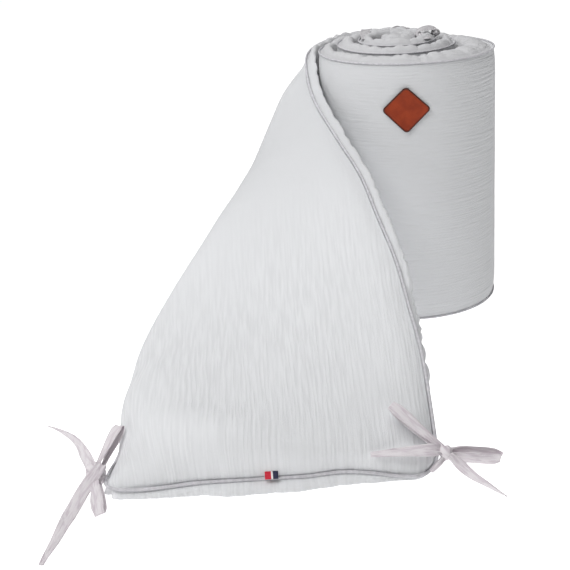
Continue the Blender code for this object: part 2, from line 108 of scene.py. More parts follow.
def gridFaces(rows, columns, closeRows=False, closeColumns=False, start=0):
    # Quads between neighbouring rows and columns of a grid whose points are numbered row by row.
    row = np.arange(rows if closeRows else rows - 1)[:, None]
    place = np.arange(columns if closeColumns else columns - 1)[None, :]
    here, ahead = row * columns, (row + 1) % rows * columns
    after = (place + 1) % columns
    corners = (here + place, ahead + place, ahead + after, here + after)
    return start + np.stack(np.broadcast_arrays(*corners), axis=-1).reshape(-1, 4)


def tubeFaces(rows, count):
    # Quads round a closed section that is carried along, and a cap at each end that faces outwards too.
    firstCap = list(range(count))
    lastCap = [corner + (rows - 1) * count for corner in reversed(firstCap)]
    return [*gridFaces(rows, count, closeColumns=True), firstCap, lastCap]


def makePiece(name, points, faces, material, nodes, places):
    # A mesh piece in its place on the frame; places is a vector at each point that its material reads.
    mesh = bpy.data.meshes.new(name)
    mesh.from_pydata((np.asarray(points) + rollAxis).tolist(), [], [list(map(int, face)) for face in faces])
    attribute = mesh.attributes.new("clothPlace", "FLOAT_VECTOR", "POINT")
    attribute.data.foreach_set("vector", np.asarray(places, float).ravel())
    mesh.validate()
    mesh.shade_smooth()
    piece = bpy.data.objects.new(name, mesh)
    scene.collection.objects.link(piece)
    mesh.materials.append(material)
    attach(piece, "root")
    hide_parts(*nodes)
    print(f"{name}: {len(mesh.polygons)} faces")
    return piece


class Wire:
    # A node's output that can be added, subtracted and multiplied like a number.
    def __init__(self, tree, socket):
        self.tree, self.socket = tree, socket

    def calculate(self, operation, *values):
        return addNode(self.tree, "Math", {"operation": operation}, dict(enumerate(values)))

    def __add__(self, other):
        return self.calculate("ADD", self, other)

    def __sub__(self, other):
        return self.calculate("SUBTRACT", self, other)

    def __rsub__(self, other):
        return self.calculate("SUBTRACT", other, self)

    def __mul__(self, other):
        return self.calculate("MULTIPLY", self, other)

    __radd__ = __add__
    __rmul__ = __mul__

    def sine(self):
        return self.calculate("SINE", self)

    def above(self, low, high):
        # 0 at low, 1 at high, clamped, with soft ends.
        return addNode(self.tree, "MapRange", {"interpolation_type": "SMOOTHSTEP"},
                       {"Value": self, "From Min": low, "From Max": high}, "Result")


def addNode(tree, kind, settings, sockets, output=0):
    # A node of that kind: its settings are made first, then its sockets are given values or wires.
    node = tree.nodes.new("ShaderNode" + kind)
    for name, value in settings.items():
        setattr(node, name, value)
    for name, value in sockets.items():
        if isinstance(value, Wire):
            tree.links.new(value.socket, node.inputs[name])
        else:
            node.inputs[name].default_value = value
    return Wire(tree, node.outputs[output])


class Cloth:
    # One material under construction: a Principled shader, what is even all over it given at the start.
    def __init__(self, name, even):
        self.material = bpy.data.materials.new(name)
        self.material.use_nodes = True
        self.tree = self.material.node_tree
        self.shader = self.tree.nodes["Principled BSDF"]
        for socket, value in even.items():
            self.shader.inputs[socket].default_value = value

    def place(self):
        # The piece's own place on its cloth in metres, as three numbers.
        where = addNode(self.tree, "Attribute", {"attribute_name": "clothPlace"}, {}, "Vector")
        parts = addNode(self.tree, "SeparateXYZ", {}, {0: where})
        return [Wire(self.tree, socket) for socket in parts.socket.node.outputs]

    def join(self, x, y, z=0.0):
        return addNode(self.tree, "CombineXYZ", {}, {0: x, 1: y, 2: z})

    def noise(self, vector, scale, detail=2.0, roughness=0.5, distortion=0.0):
        return addNode(self.tree, "TexNoise", {}, {"Vector": vector, "Scale": scale, "Detail": detail,
                                                   "Roughness": roughness, "Distortion": distortion})

    def blend(self, share, first, second):
        # Colour first where share is 0, second where it is 1.
        first, second = (colour if isinstance(colour, Wire) else (*colour, 1.0) for colour in (first, second))
        return addNode(self.tree, "Mix", {"data_type": "RGBA"}, {0: share, 6: first, 7: second}, 2)

    def bump(self, height):
        # A bump whose height is in metres.
        return addNode(self.tree, "Bump", {}, {"Height": height, "Distance": 1.0, "Strength": 1.0})

    def finish(self, wires):
        for socket, wire in wires.items():
            self.tree.links.new(wire.socket, self.shader.inputs[socket])
        return self.material


def linear(*levels):
    # Screen levels 0-255 as linear colour: the screen's power curve, with its straight foot under 11.
    return tuple(level / 3294.6 if level < 11 else ((level / 255 + 0.055) / 1.055)**2.4 for level in levels)


view = {
    "place": (-0.1509, -1.3500, 0.5538),  # from the roll's axis
    "pitch": 21.67,                       # degrees down
    "lean": 3.8,                          # degrees the picture leans
    "lens": 74.76,
}
studio = {
    "skyLevel": 0.08,             # what the white sky gives the part
    "backdropLevel": 1.2,         # and what the camera sees of it
    "key": {"place": (-1.25, -1.15, 1.9), "aim": (-0.10, -0.15, 0.1), "size": 1.3, "watts": 24.6},
    "top": {"place": (-0.38, -0.32, 2.2), "aim": (-0.14, -0.26, 0.0), "size": 1.8, "watts": 29.5},
    "floorColour": (206, 206, 206),
    "floorGlow": 0.90,
    "floorReach": 6.0,
}


def addCamera(design):
    # Looks along +Y, dipped by its pitch, then leaned about the line of sight.
    pitch, lean = math.radians(design["pitch"]), math.radians(design["lean"])
    forward = np.array([0.0, math.cos(pitch), -math.sin(pitch)])
    level = np.array([1.0, 0.0, 0.0])
    upright = np.cross(level, forward)
    right = math.cos(lean) * level - math.sin(lean) * upright
    up = math.cos(lean) * upright + math.sin(lean) * level
    turn = np.eye(4)
    turn[:3, 0], turn[:3, 1], turn[:3, 2] = right, up, -forward
    turn[:3, 3] = np.array(design["place"]) + rollAxis
    camera = bpy.data.objects.new("camera", bpy.data.cameras.new("camera"))
    camera.data.lens = design["lens"]
    camera.data.sensor_width = 36.0
    camera.data.clip_start = 0.05
    camera.matrix_world = Matrix(turn.tolist())
    scene.collection.objects.link(camera)
    scene.camera = camera


def addPanel(name, design):
    # A square soft box that faces its aim.
    lamp = bpy.data.lights.new(name, "AREA")
    lamp.size, lamp.energy = design["size"], design["watts"]
    thing = bpy.data.objects.new(name, lamp)
    place = np.array(design["place"]) + rollAxis
    away = unit(place - (np.array(design["aim"]) + rollAxis))
    side = unit(np.cross([0.0, 0.0, 1.0], away))
    turn = np.eye(4)
    turn[:3, 0], turn[:3, 1], turn[:3, 2], turn[:3, 3] = side, np.cross(away, side), away, place
    thing.matrix_world = Matrix(turn.tolist())
    scene.collection.objects.link(thing)


def addStudio(design):
    # A white sky that is dim for everything but the camera, two soft boxes, and a square of glowing paper.
    white = (1.0, 1.0, 1.0, 1.0)
    world = bpy.data.worlds.new("studio")
    world.use_nodes = True
    backdrop = world.node_tree.nodes["Background"]
    seen = addNode(world.node_tree, "LightPath", {}, {}, "Is Camera Ray")
    level = addNode(world.node_tree, "MapRange", {},
                    {"Value": seen, "To Min": design["skyLevel"], "To Max": design["backdropLevel"]})
    world.node_tree.links.new(level.socket, backdrop.inputs["Strength"])
    backdrop.inputs["Color"].default_value = white
    scene.world = world
    scene.view_settings.view_transform = "Standard"
    addPanel("keyLight", design["key"])
    addPanel("topLight", design["top"])
    paper = Cloth("floorPaper", {"Roughness": 0.9, "Specular IOR Level": 0.1, "Emission Color": white,
                                 "Emission Strength": design["floorGlow"]})
    grain = paper.noise(addNode(paper.tree, "TexCoord", {}, {}, "Object"), 40.0, 3.0)
    pale = linear(*design["floorColour"])
    paper.finish({"Base Color": paper.blend(grain, pale, tuple(level * 0.99 for level in pale))})
    mesh = bpy.data.meshes.new("floor")
    reach = design["floorReach"]
    corners = [(-reach, -reach, 0.0), (reach, -reach, 0.0), (reach, reach, 0.0), (-reach, reach, 0.0)]
    mesh.from_pydata(corners, [], [(0, 1, 2, 3)])
    floor = bpy.data.objects.new("floor", mesh)
    mesh.materials.append(paper.material)
    scene.collection.objects.link(floor)


addCamera(view)
addStudio(studio)
print("camera, lights and floor set")


pad = {
    "width": 0.300,               # seam to seam
    "drapeLength": 0.540,
    "pressedThickness": 0.0195,   # at the roll's core
    "leastShare": 0.75,           # of it where the turns lie closest
    "fullestThickness": 0.040,    # where they leave the most room
    "looseThickness": 0.027,      # on the drape
    "looseOver": 0.14,            # cloth over which it gets that loose
    "turnClearance": 0.002,
    "endClearance": 0.004,        # more of it where the second turn passes the strip's inner end
    "crown": (0.002, 0.007),      # the face above its seam, on the roll and on the drape
    "crownReach": 0.010,          # the cloth over which it swells
    "seamHeight": 0.0045,
    "stationStep": 0.0036,        # cloth between two cross-sections
    "stationTurn": 4.5,           # and never more degrees than this
    "acrossStep": (0.0016, 0.0070),   # between sample places, at a seam and in the middle
    "cornerRadius": 0.016,
    "foldSoftness": 0.20,
    "leanLength": 0.05,           # the last turn leans out below its rim, half of this before it leaves
    "leanRise": 0.013,
    "leanFade": 0.015,            # below the head seam
    "waveReach": 0.055,           # how far the short edge's waves run into the drape
    "easeReach": 0.03,            # cloth beside the roll over which it goes over to the drape
    "easeRounds": 60,
    # Wadding in the slit behind the lean: how thick, its middle past the roll, and where across the strip.
    "slit": {"fill": 0.009, "past": 0.02, "reach": 0.045, "from": 0.12, "over": 0.12},
    # How much thinner the loose end's head corner is pressed, from where across the strip, and how far up it.
    "headCorner": {"thinner": 0.70, "from": 0.15, "over": 0.10, "reach": 0.05},
    "dentHeight": 0.0012,
    "dentWaves": (0.11, 0.16),
    "edgeRings": 13,              # along the puffed edge's section
    "puffRise": (1.15, 1.75),     # how far the head edge's puff stands out, on the roll and on the drape
    # Where along the strip that puff is the drape's, how much calmer its gathers are, and its lift.
    "headPuff": {"from": -0.05, "over": 0.06, "until": 0.45, "fade": 0.20, "calm": 0.65, "lift": 0.55},
    "creaseGap": 0.0170,          # between the gathers of the puffed edge
    "creaseWidth": 0.0045,
    "creaseDepth": 0.56,          # share of the puff that a gather takes
    "creaseDip": 0.0012,          # and how far it draws the puff's side in
    "creaseSlant": 0.004,
    "edgeWave": 0.10,
    "endPuffFrom": (0.007, 0.020),    # from either seam, where the short edge's own puff is whole
}
gathers = {  # small ones in the face beside a seam: their gap, how they slant, and the seed
    "foot": (0.021, 0.15, 11),
    "head": (0.019, -0.20, 12),
    "end": (0.017, 0.10, 13),
    "width": 0.0026,
    "from": 0.003,                # they start this far from the seam
    "reach": 0.016,
    "depth": (0.0006, 0.0018),    # on the roll and on the drape
}
hang = {  # down the drape the threads hang straight instead of following the strip
    "from": 0.03,                 # cloth past the roll where that starts, and over how much of it
    "over": 0.17,
    "footFrom": 0.015,            # the same from the foot seam
    "footOver": 0.06,
    "left": -0.350,               # they are counted from here, to the right
}
rollTable = {  # the wound part: degrees round the roll, its radius and centre there, and its two seams' heights
    "columns": ("angle", "rimRadius", "centreX", "lift", "rimHeight"),
    "rows": (
        (-1220, 0.0215, -0.010, 0.006, 0.310),
        (-900, 0.0390, -0.010, 0.006, 0.309),
        (-540, 0.0610, -0.012, 0.005, 0.306),
        (-360, 0.0720, -0.012, 0.004, 0.302),
        (-180, 0.0880, -0.006, 0.000, 0.299),
        (-90, 0.0970, -0.002, 0.000, 0.2985),
        (0, 0.1040, -0.001, 0.000, 0.2955),
        (45, 0.1020, -0.001, 0.000, 0.2938),
        (90, 0.1000, -0.001, 0.000, 0.2955),
        (135, 0.1055, -0.001, 0.000, 0.2995),
        (180, 0.1110, -0.001, 0.000, 0.2900),
    ),
}
drapeTable = {  # the loose end: its two seams, where it folds between them, and its width against the strip's
    "columns": ("along", "footX", "footY", "footZ", "headX", "headY", "headZ", "fold", "fullness"),
    "rows": (
        (0.00, -0.1120, 0.0000, 0.0045, -0.1120, 0.0020, 0.2890, 0.95, 1.000),
        (0.03, -0.1220, -0.0270, 0.0045, -0.1107, -0.0255, 0.2710, 0.90, 0.985),
        (0.06, -0.1415, -0.0500, 0.0050, -0.1056, -0.0460, 0.2557, 0.69, 0.960),
        (0.12, -0.1925, -0.0890, 0.0060, -0.0861, -0.0936, 0.2244, 0.55, 0.975),
        (0.18, -0.2440, -0.1240, 0.0080, -0.0643, -0.1399, 0.1925, 0.43, 1.030),
        (0.24, -0.2867, -0.1570, 0.0090, -0.0514, -0.1899, 0.1612, 0.29, 1.065),
        (0.30, -0.3082, -0.2060, 0.0100, -0.0398, -0.2420, 0.1332, 0.17, 1.076),
        (0.36, -0.3139, -0.2640, 0.0100, -0.0339, -0.2955, 0.1061, 0.14, 1.073),
        (0.42, -0.3130, -0.3240, 0.0085, -0.0292, -0.3498, 0.0801, 0.13, 1.100),
        (0.48, -0.3160, -0.3840, 0.0075, -0.0270, -0.3958, 0.0412, 0.20, 1.065),
        (0.51, -0.3200, -0.4130, 0.0090, -0.0265, -0.4150, 0.0228, 0.32, 1.035),
        (0.54, -0.3230, -0.4410, 0.0100, -0.0260, -0.4320, 0.0050, 0.50, 0.985),
    ),
}
endTable = {  # the short edge against a straight one: towards the front, up, and how far its puff stands out
    "columns": ("across", "forward", "up", "puff"),
    "rows": (
        (0.000, 0.0000, 0.0000, 0.0035),
        (0.030, 0.0022, -0.0010, 0.0045),
        (0.058, 0.0018, 0.0000, 0.0065),
        (0.085, 0.0010, 0.0015, 0.0090),
        (0.112, 0.0030, 0.0022, 0.0115),
        (0.147, 0.0040, 0.0024, 0.0115),
        (0.182, 0.0055, 0.0030, 0.0100),
        (0.214, 0.0038, 0.0045, 0.0085),
        (0.245, 0.0060, 0.0020, 0.0060),
        (0.262, 0.0083, 0.0000, 0.0025),
        (0.284, 0.0091, -0.0010, 0.0010),
        (0.300, 0.0000, 0.0000, 0.0010),
    ),
}
lowEdgeTable = {  # the same puff in section: shares of its reach and of the seam's height above the floor
    "columns": ("reach", "drop"),
    "rows": ((0.0, 0.0), (-0.04, 0.10), (0.22, 0.24), (0.78, 0.50), (1.0, 0.78), (0.80, 1.0), (-0.9, 1.0)),
}
edgeTable = {  # the puffed edge in section: past the seam, and below the face
    "columns": ("out", "depth"),
    "rows": ((0.0000, 0.0000), (-0.0006, 0.0014), (0.0008, 0.0028), (0.0042, 0.0055), (0.0068, 0.0100),
             (0.0040, 0.0152), (-0.0070, 0.0175)),
}


def rollPlan(angles):
    # Outer seams along the turns: a circle of changing radius about a wandering centre, and both heights.
    turns = column(rollTable, "angle")
    radius, centre, lift, rim = (smoothCurve(angles, turns, column(rollTable, name))
                                 for name in rollTable["columns"][1:])
    turn = np.radians(angles)
    foot = pad["seamHeight"] + lift
    return np.stack([centre + radius * np.cos(turn), radius * np.sin(turn), foot, rim], -1)


def rollAngles():
    # Even steps of cloth, shorter where the turn is tight.
    fine = np.arange(rollTable["rows"][0][0], rollTable["rows"][-1][0] + 0.5, 0.5)
    plan = rollPlan(fine)[:, :2]
    radius = smoothCurve(fine, column(rollTable, "angle"), column(rollTable, "rimRadius"))
    step = np.linalg.norm(np.diff(plan, axis=0), axis=1)
    longest = np.minimum(pad["stationStep"], radius[1:] * math.radians(pad["stationTurn"]))
    count = np.concatenate([[0.0], np.cumsum(step / longest)])
    return np.interp(np.linspace(0.0, count[-1], int(round(count[-1])) + 1), count, fine)


def drapeFace(along, across):
    # Each cross-section goes up from the foot seam and bends over at its fold to reach the head seam: the two
    # parts of the cloth make a triangle on the chord, and the direction turns smoothly from one to the other.
    stations = column(drapeTable, "along")

    def course(end):
        return np.stack([smoothCurve(along, stations, column(drapeTable, end + axis)) for axis in "XYZ"], -1)

    foot, head = course("foot"), course("head")
    chord = head - foot
    reach = np.linalg.norm(chord, axis=1)
    fullness, fold = (smoothCurve(along, stations, column(drapeTable, name)) for name in ("fullness", "fold"))
    cloth = np.maximum(pad["width"] * fullness, reach * 1.0002)
    wall, sheet = cloth * fold, cloth * (1 - fold)
    run = (wall**2 - sheet**2 + reach**2) / (2 * reach)
    rise = np.sqrt(np.maximum(wall**2 - run**2, 0.0)) * smoothStep(along / pad["leanLength"] + 0.5)
    outward = unit(np.cross(np.gradient(foot + head, axis=0), chord))
    corner = foot + unit(chord) * run[:, None] + outward * rise[:, None]
    fine = np.linspace(0.0, 1.0, 241)
    soft = pad["foldSoftness"]
    bend = smoothStep((fine - fold[:, None] + soft) / (2 * soft))[:, :, None]
    ways = unit(unit(corner - foot)[:, None] * (1 - bend) + unit(head - corner)[:, None] * bend)
    steps = 0.5 * (ways[:, 1:] + ways[:, :-1]) * (cloth[:, None, None] * fine[1])
    risen = np.concatenate([np.zeros((len(along), 1, 3)), np.cumsum(steps, axis=1)], axis=1)
    risen += (chord - risen[:, -1])[:, None, :] * fine[None, :, None]
    place = across / pad["width"] / fine[1]
    cell = np.clip(place.astype(int), 0, len(fine) - 2)
    share = (place - cell)[None, :, None]
    return foot[:, None, :] + between(risen[:, cell], risen[:, cell + 1], share)


def crossPlaces():
    # Sample places across the strip: the steps grow from the seam, and one of them spans the middle.
    fine, coarse = pad["acrossStep"]
    half = np.concatenate([[0.0], np.cumsum(between(fine, coarse, smoothStep(np.arange(40) / 16.0)))])
    half = half[half < pad["width"] / 2]
    half = half * (pad["width"] / 2 / (half[-1] + coarse / 2))
    return np.concatenate([half, pad["width"] - half[::-1]])


def stripFace():
    # The seam-high face of the whole strip, wound turns first: rows are stations, columns go foot to head.
    angles = rollAngles()
    plan = rollPlan(angles)
    across = crossPlaces()
    width = pad["width"]
    roll = np.zeros((len(angles), len(across), 3))
    roll[:, :, :2] = plan[:, None, :2]
    roll[:, :, 2] = between(plan[:, None, 2], plan[:, None, 3], across[None, :] / width)
    steps = int(round(pad["drapeLength"] / pad["stationStep"]))
    loose = np.linspace(0.0, pad["drapeLength"], steps + 1)[1:]
    drape = drapeFace(loose, across)
    # The last turn leans out under its rim just before the loose end leaves it.
    left = lengthAlong(roll[::-1, 0, :2])[::-1]
    lean = pad["leanRise"] * smoothStep(0.5 - left / pad["leanLength"])
    shape = np.minimum(across / (width - pad["leanFade"]), (width - across) / pad["leanFade"])
    roll[:, :, :2] += unit(roll[:, :, :2]) * (lean[:, None] * shape[None])[:, :, None]
    # The short edge waves: the table's offsets die out up the drape.
    fade = np.exp(-((pad["drapeLength"] - loose) / pad["waveReach"])**1.5)[:, None]
    spots = column(endTable, "across")
    drape[:, :, 1] -= fade * smoothCurve(across, spots, column(endTable, "forward"))[None]
    drape[:, :, 2] += fade * smoothCurve(across, spots, column(endTable, "up"))[None]
    face = np.concatenate([roll, drape])
    course = lengthAlong(face[:, 0])
    # Where the roll goes over to the drape, each station is drawn to the mean of its neighbours many times.
    weight = np.exp(-((course - course[len(angles) - 1]) / pad["easeReach"])**2)[:, None, None]
    for _ in range(pad["easeRounds"]):
        middle = face.copy()
        middle[1:-1] = 0.25 * face[:-2] + 0.5 * face[1:-1] + 0.25 * face[2:]
        face = between(face, middle, weight)
    return angles, across, face, course


def thicknessAlong(angles, rows):
    # Wadding at each station: it swells until it meets the turn inside it, and is loose on the drape. The
    # first turn has nothing inside it and is pressed, and from 290 to 350 degrees it goes over to the others.
    pressed = pad["pressedThickness"]
    radius = smoothCurve(angles, column(rollTable, "angle"), column(rollTable, "rimRadius"))
    inner = np.clip(angles - 360.0, angles[0], None)
    gap = np.linalg.norm((rollPlan(angles) - rollPlan(inner))[:, :2], axis=1)
    swollen = np.clip(gap - pad["turnClearance"], pad["leastShare"] * pressed, pad["fullestThickness"])
    wound = angles - angles[0]
    swollen = between(np.minimum(pressed, 0.8 * radius), swollen, smoothStep((wound - 290.0) / 60.0))
    swollen -= pad["endClearance"] * np.exp(-((wound - 350.0) / 30.0)**2)
    free = np.arange(1, rows - len(angles) + 1) / (rows - len(angles)) * pad["drapeLength"]
    loose = between(swollen[-1], pad["looseThickness"], smoothStep(free / pad["looseOver"]))
    return np.concatenate([swollen, loose])


def stripAxes(face):
    # Unit vectors along the strip, across it and out of its face, at every grid point.
    along = unit(np.gradient(face, axis=0))
    across = unit(np.gradient(face, axis=1))
    return along, across, unit(np.cross(along, across))


def roundCorners(face, course, across):
    # The square of grid at each free corner becomes a quarter disc: x * sqrt(1 - y^2 / 2), and y likewise.
    along, cross, _ = stripAxes(face)
    radius = pad["cornerRadius"]
    x = np.clip(1 - (course[-1] - course) / radius, 0, 1)[:, None]
    for side in (0, 1):
        fromSeam = across if side == 0 else pad["width"] - across
        y = np.clip(1 - fromSeam / radius, 0, 1)[None, :]
        moveAlong = radius * x * (np.sqrt(1 - y**2 / 2) - 1)
        moveAcross = radius * y * (np.sqrt(1 - x**2 / 2) - 1) * (1 if side else -1)
        face = face + along * moveAlong[:, :, None] + cross * moveAcross[:, :, None]
    return face


def loopOf(rows, places):
    # Grid numbers round the seam: foot, short free end, head, inner end.
    foot = np.arange(rows) * places
    end = (rows - 1) * places + np.arange(1, places)
    head = np.arange(rows - 2, -1, -1) * places + places - 1
    start = np.arange(places - 2, 0, -1)
    return np.concatenate([foot, end, head, start])


angles, across, face, course = stripFace()
face = roundCorners(face, course, across)
rows, places = face.shape[:2]
rollRows = len(angles)
thickness = thicknessAlong(angles, rows)
pastRoll = course - course[rollRows - 1]
isDrape = smoothStep((pastRoll + 0.02) / 0.08)  # 0 on the roll, 1 on the drape
loop = loopOf(rows, places)
faceOutward = stripAxes(face)[2]
seam = face.reshape(-1, 3)[loop]
seamOutward = faceOutward.reshape(-1, 3)[loop]
seamPast = unit(np.cross(np.roll(seam, -1, axis=0) - np.roll(seam, 1, axis=0), seamOutward))
seamStation = loop // places
seamPlace = loop % places
seamLength = lengthAlong(seam)
onHead = (seamPlace == places - 1)
print(f"strip: {rows} stations of {places}, {course[-1]:.3f} m long")


def faceGather(side, along, away, length):
    # Creases beside a seam that start a little way from it and die out: creases * (1 - exp(-away / from)) *
    # exp(-away / reach).
    gap, slant, seed = gathers[side]
    groove = creases(along + slant * away, gap, gathers["width"], seed, length)
    return groove * np.exp(-away / gathers["reach"]) * (1 - np.exp(-away / gathers["from"]))


def edgeSection(table, name, share):
    # One column of a section's table at the rings' shares of the way round it.
    return smoothCurve(share, np.linspace(0.0, 1.0, len(table["rows"])), column(table, name))


def buildPad(material):
    # Front sheet: face + outward * crown * (1 - exp(-(distance from seam / reach)^1.3)), with soft dents and
    # small gathers. Edge: the section of edgeTable carried round the seam, its puff pinched by creases. A
    # back sheet of fewer points closes it.
    fromEnd = (course[-1] - course)[:, None]
    fromSeam = np.minimum(across, pad["width"] - across)[None, :]
    nearest = np.minimum(np.minimum(fromSeam, fromEnd), course[:, None])
    crown = between(*pad["crown"], isDrape)
    swell = 1 - np.exp(-(nearest / pad["crownReach"])**1.3)
    stationGrid = np.broadcast_to(course[:, None], (rows, places))
    acrossGrid = np.broadcast_to(across[None, :], (rows, places))
    hanging = smoothStep((pastRoll[:, None] - hang["from"]) / hang["over"])
    hanging = hanging * smoothStep((acrossGrid - hang["footFrom"]) / hang["footOver"])
    threadGrid = between(acrossGrid, face[:, :, 0] - hang["left"], hanging)
    length = course[-1] + 0.1
    gather = np.where(acrossGrid < pad["width"] / 2, faceGather("foot", stationGrid, fromSeam, length),
                      faceGather("head", stationGrid, fromSeam, length))
    gather = gather + faceGather("end", acrossGrid, fromEnd, pad["width"] + 0.1)
    longWave, crossWave = pad["dentWaves"]
    dents = ripple(stationGrid * 0.8 + acrossGrid * 0.3, longWave, 21) * ripple(acrossGrid, crossWave, 22)
    dents = pad["dentHeight"] * dents * between(0.25, 1.0, isDrape[:, None]) * (1 - np.exp(-nearest / 0.03))
    rise = crown[:, None] * swell + dents - between(*gathers["depth"], isDrape[:, None]) * gather
    front = face + faceOutward * rise[:, :, None]
    corner, slit = pad["headCorner"], pad["slit"]
    press = smoothStep((across[None, :] - corner["from"]) / corner["over"])
    full = 1 - corner["thinner"] * press * np.exp(-(fromEnd / corner["reach"])**2)
    # Where the last turn leans away from the roll the wadding fills the slit behind it.
    leaving = np.exp(-((pastRoll - slit["past"]) / slit["reach"])**2)[:, None]
    filling = slit["fill"] * leaving * smoothStep((across[None, :] - slit["from"]) / slit["over"])
    padDepth = (thickness - crown)[:, None] * full + filling
    back = face - faceOutward * padDepth[:, :, None]

    rings = pad["edgeRings"]
    share = np.linspace(0.0, 1.0, rings + 1)[1:]
    out, down = edgeSection(edgeTable, "out", share), edgeSection(edgeTable, "depth", share)
    reach, drop = edgeSection(lowEdgeTable, "reach", share), edgeSection(lowEdgeTable, "drop", share)
    deep = padDepth.reshape(-1)[loop] / edgeTable["rows"][-1][1]
    fullThere = full.reshape(-1)[loop]
    head, past = pad["headPuff"], pastRoll[seamStation]
    headOut = onHead * smoothStep((past - head["from"]) / head["over"])
    headOut = headOut * smoothStep((head["until"] - past) / head["fade"])
    rollRise, drapeRise = pad["puffRise"]
    stand = 1 + (rollRise - 1) * onHead * (1 - isDrape[seamStation]) + (drapeRise - 1) * headOut
    # Along the short edge the puff stands on the floor in front of its seam.
    footFrom, headFrom = pad["endPuffFrom"]
    onEnd = smoothStep(across[seamPlace] / footFrom)
    onEnd = onEnd * smoothStep((pad["width"] - across[seamPlace]) / headFrom)
    onEnd = (onEnd * (seamStation == rows - 1))[:, None]
    forward = unit(seamPast * np.array([1.0, 1.0, 0.0]))
    puffReach = smoothCurve(across[seamPlace], column(endTable, "across"), column(endTable, "puff"))
    slant = pad["creaseSlant"] * ripple(seamLength, 0.08, 31)
    pastEnd = 1.0 * (seamStation == rows - 1) - (seamStation == 0)
    pastSide = 1.0 * (seamPlace == places - 1) - (seamPlace == 0)
    ringPoints, ringPlaces = [], []
    arc = 0.0
    for number, (outward, lower) in enumerate(zip(out, down)):
        there = seamLength + slant * share[number]
        pinch = creases(there, pad["creaseGap"], pad["creaseWidth"], 32, seamLength[-1] + 0.1)
        pinch = pinch * pad["creaseDepth"] + pad["edgeWave"] * ripple(there, 0.05, 33)
        pinch = pinch * (1 - head["calm"] * headOut)
        bulge = math.sin(math.pi * min(max((share[number] - 0.25) / 0.7, 0), 1))
        puff = outward * stand * (1 - pinch * (outward > 0)) * between(0.35, 1.0, fullThere)
        puff = puff - pad["creaseDip"] * pinch * bulge
        under = lower * deep * (1 - head["lift"] * headOut)
        point = seam + seamPast * puff[:, None] - seamOutward * under[:, None]
        low = seam + forward * (puffReach * reach[number] * (1 - 0.5 * pinch))[:, None]
        low[:, 2] = between(seam[:, 2], 0.0005, drop[number])
        ringPoints.append(between(point, low, onEnd))
        if number:
            arc += np.linalg.norm(ringPoints[-1] - ringPoints[-2], axis=1).mean()
        ringPlaces.append(np.column_stack([course[seamStation] + pastEnd * arc,
                                           threadGrid.reshape(-1)[loop] + pastSide * arc,
                                           np.full(len(loop), share[number])]))

    # The back sheet skips places across the strip, so that the seams keep the fine ones.
    keep = np.unique(np.concatenate([[0], np.arange(2, places - 2, 3), [places - 1]]))
    inner = np.ix_(np.arange(1, rows - 1), keep[1:-1])
    backCount = (rows - 2) * (len(keep) - 2)
    points = np.concatenate([front.reshape(-1, 3), *ringPoints, back[inner].reshape(-1, 3)])
    points[:, 2] = np.maximum(points[:, 2], 0.0004)
    sheets = [np.stack([stationGrid, threadGrid, np.full((rows, places), layer)], -1) for layer in (0.0, 1.0)]
    threads = [sheets[0].reshape(-1, 3), *ringPlaces, sheets[1][inner].reshape(-1, 3)]
    ringStart = rows * places
    backStart = ringStart + rings * len(loop)
    faces = list(gridFaces(rows, places))
    ringNumber = np.concatenate([loop[None, :], np.arange(ringStart, backStart).reshape(rings, -1)])
    ahead = np.roll(ringNumber, -1, axis=1)
    faces += list(np.stack([ringNumber[:-1], ringNumber[1:], ahead[1:], ahead[:-1]], -1).reshape(-1, 4))
    lastRing = np.full((rows, places), -1)
    lastRing.reshape(-1)[loop] = ringNumber[-1]
    backNumber = lastRing[:, keep]
    backNumber[1:-1, 1:-1] = np.arange(backStart, backStart + backCount).reshape(rows - 2, -1)
    quads = np.stack([backNumber[:-1, :-1], backNumber[:-1, 1:], backNumber[1:, 1:], backNumber[1:, :-1]], -1)
    faces += list(quads[1:-1].reshape(-1, 4))
    for cell, (low, high) in enumerate(zip(keep[:-1], keep[1:])):
        faces.append([*lastRing[0, low:high + 1], *quads[0, cell, [2, 3]]])
        faces.append([*quads[-1, cell, [0, 1]], *lastRing[-1, low:high + 1][::-1]])
    return makePiece("paddedStrip", points, faces, material, ["bumper_pad"],
                     np.concatenate(threads))


gauze = {
    "colour": (226, 227, 229),
    "woundShadeColour": (210, 211, 213),   # painted shade on the turns wound round the roll
    # painted shade in the crinkles' hollows
    "hollowShadeColour": (216, 217, 219),
    "leavingShadeColour": (207, 208, 210),     # painted shade where the drape leaves the roll
    "edgePaintAndShadeColour": (202, 202, 204),    # painted shade on the puffed edges on top of the roll
    "crinkleGap": 0.0020,         # between two crinkles, across the strip
    "crinkleLength": 0.038,
    "crinkleStray": 0.0025,       # how far it strays from straight
    "crinkleHeight": 0.00044,
    "fineHeight": 0.00028,
    "smoothUntil": 0.15,          # the drape is smooth near the roll and crinkled from here on
    "crinkledFrom": 0.35,
    "leastCrinkle": 0.12,         # share of the crinkles that is left where it is smooth
    "weaveGap": 0.00062,
    "weaveHeight": 0.00007,
    "sheen": 0.08,
}


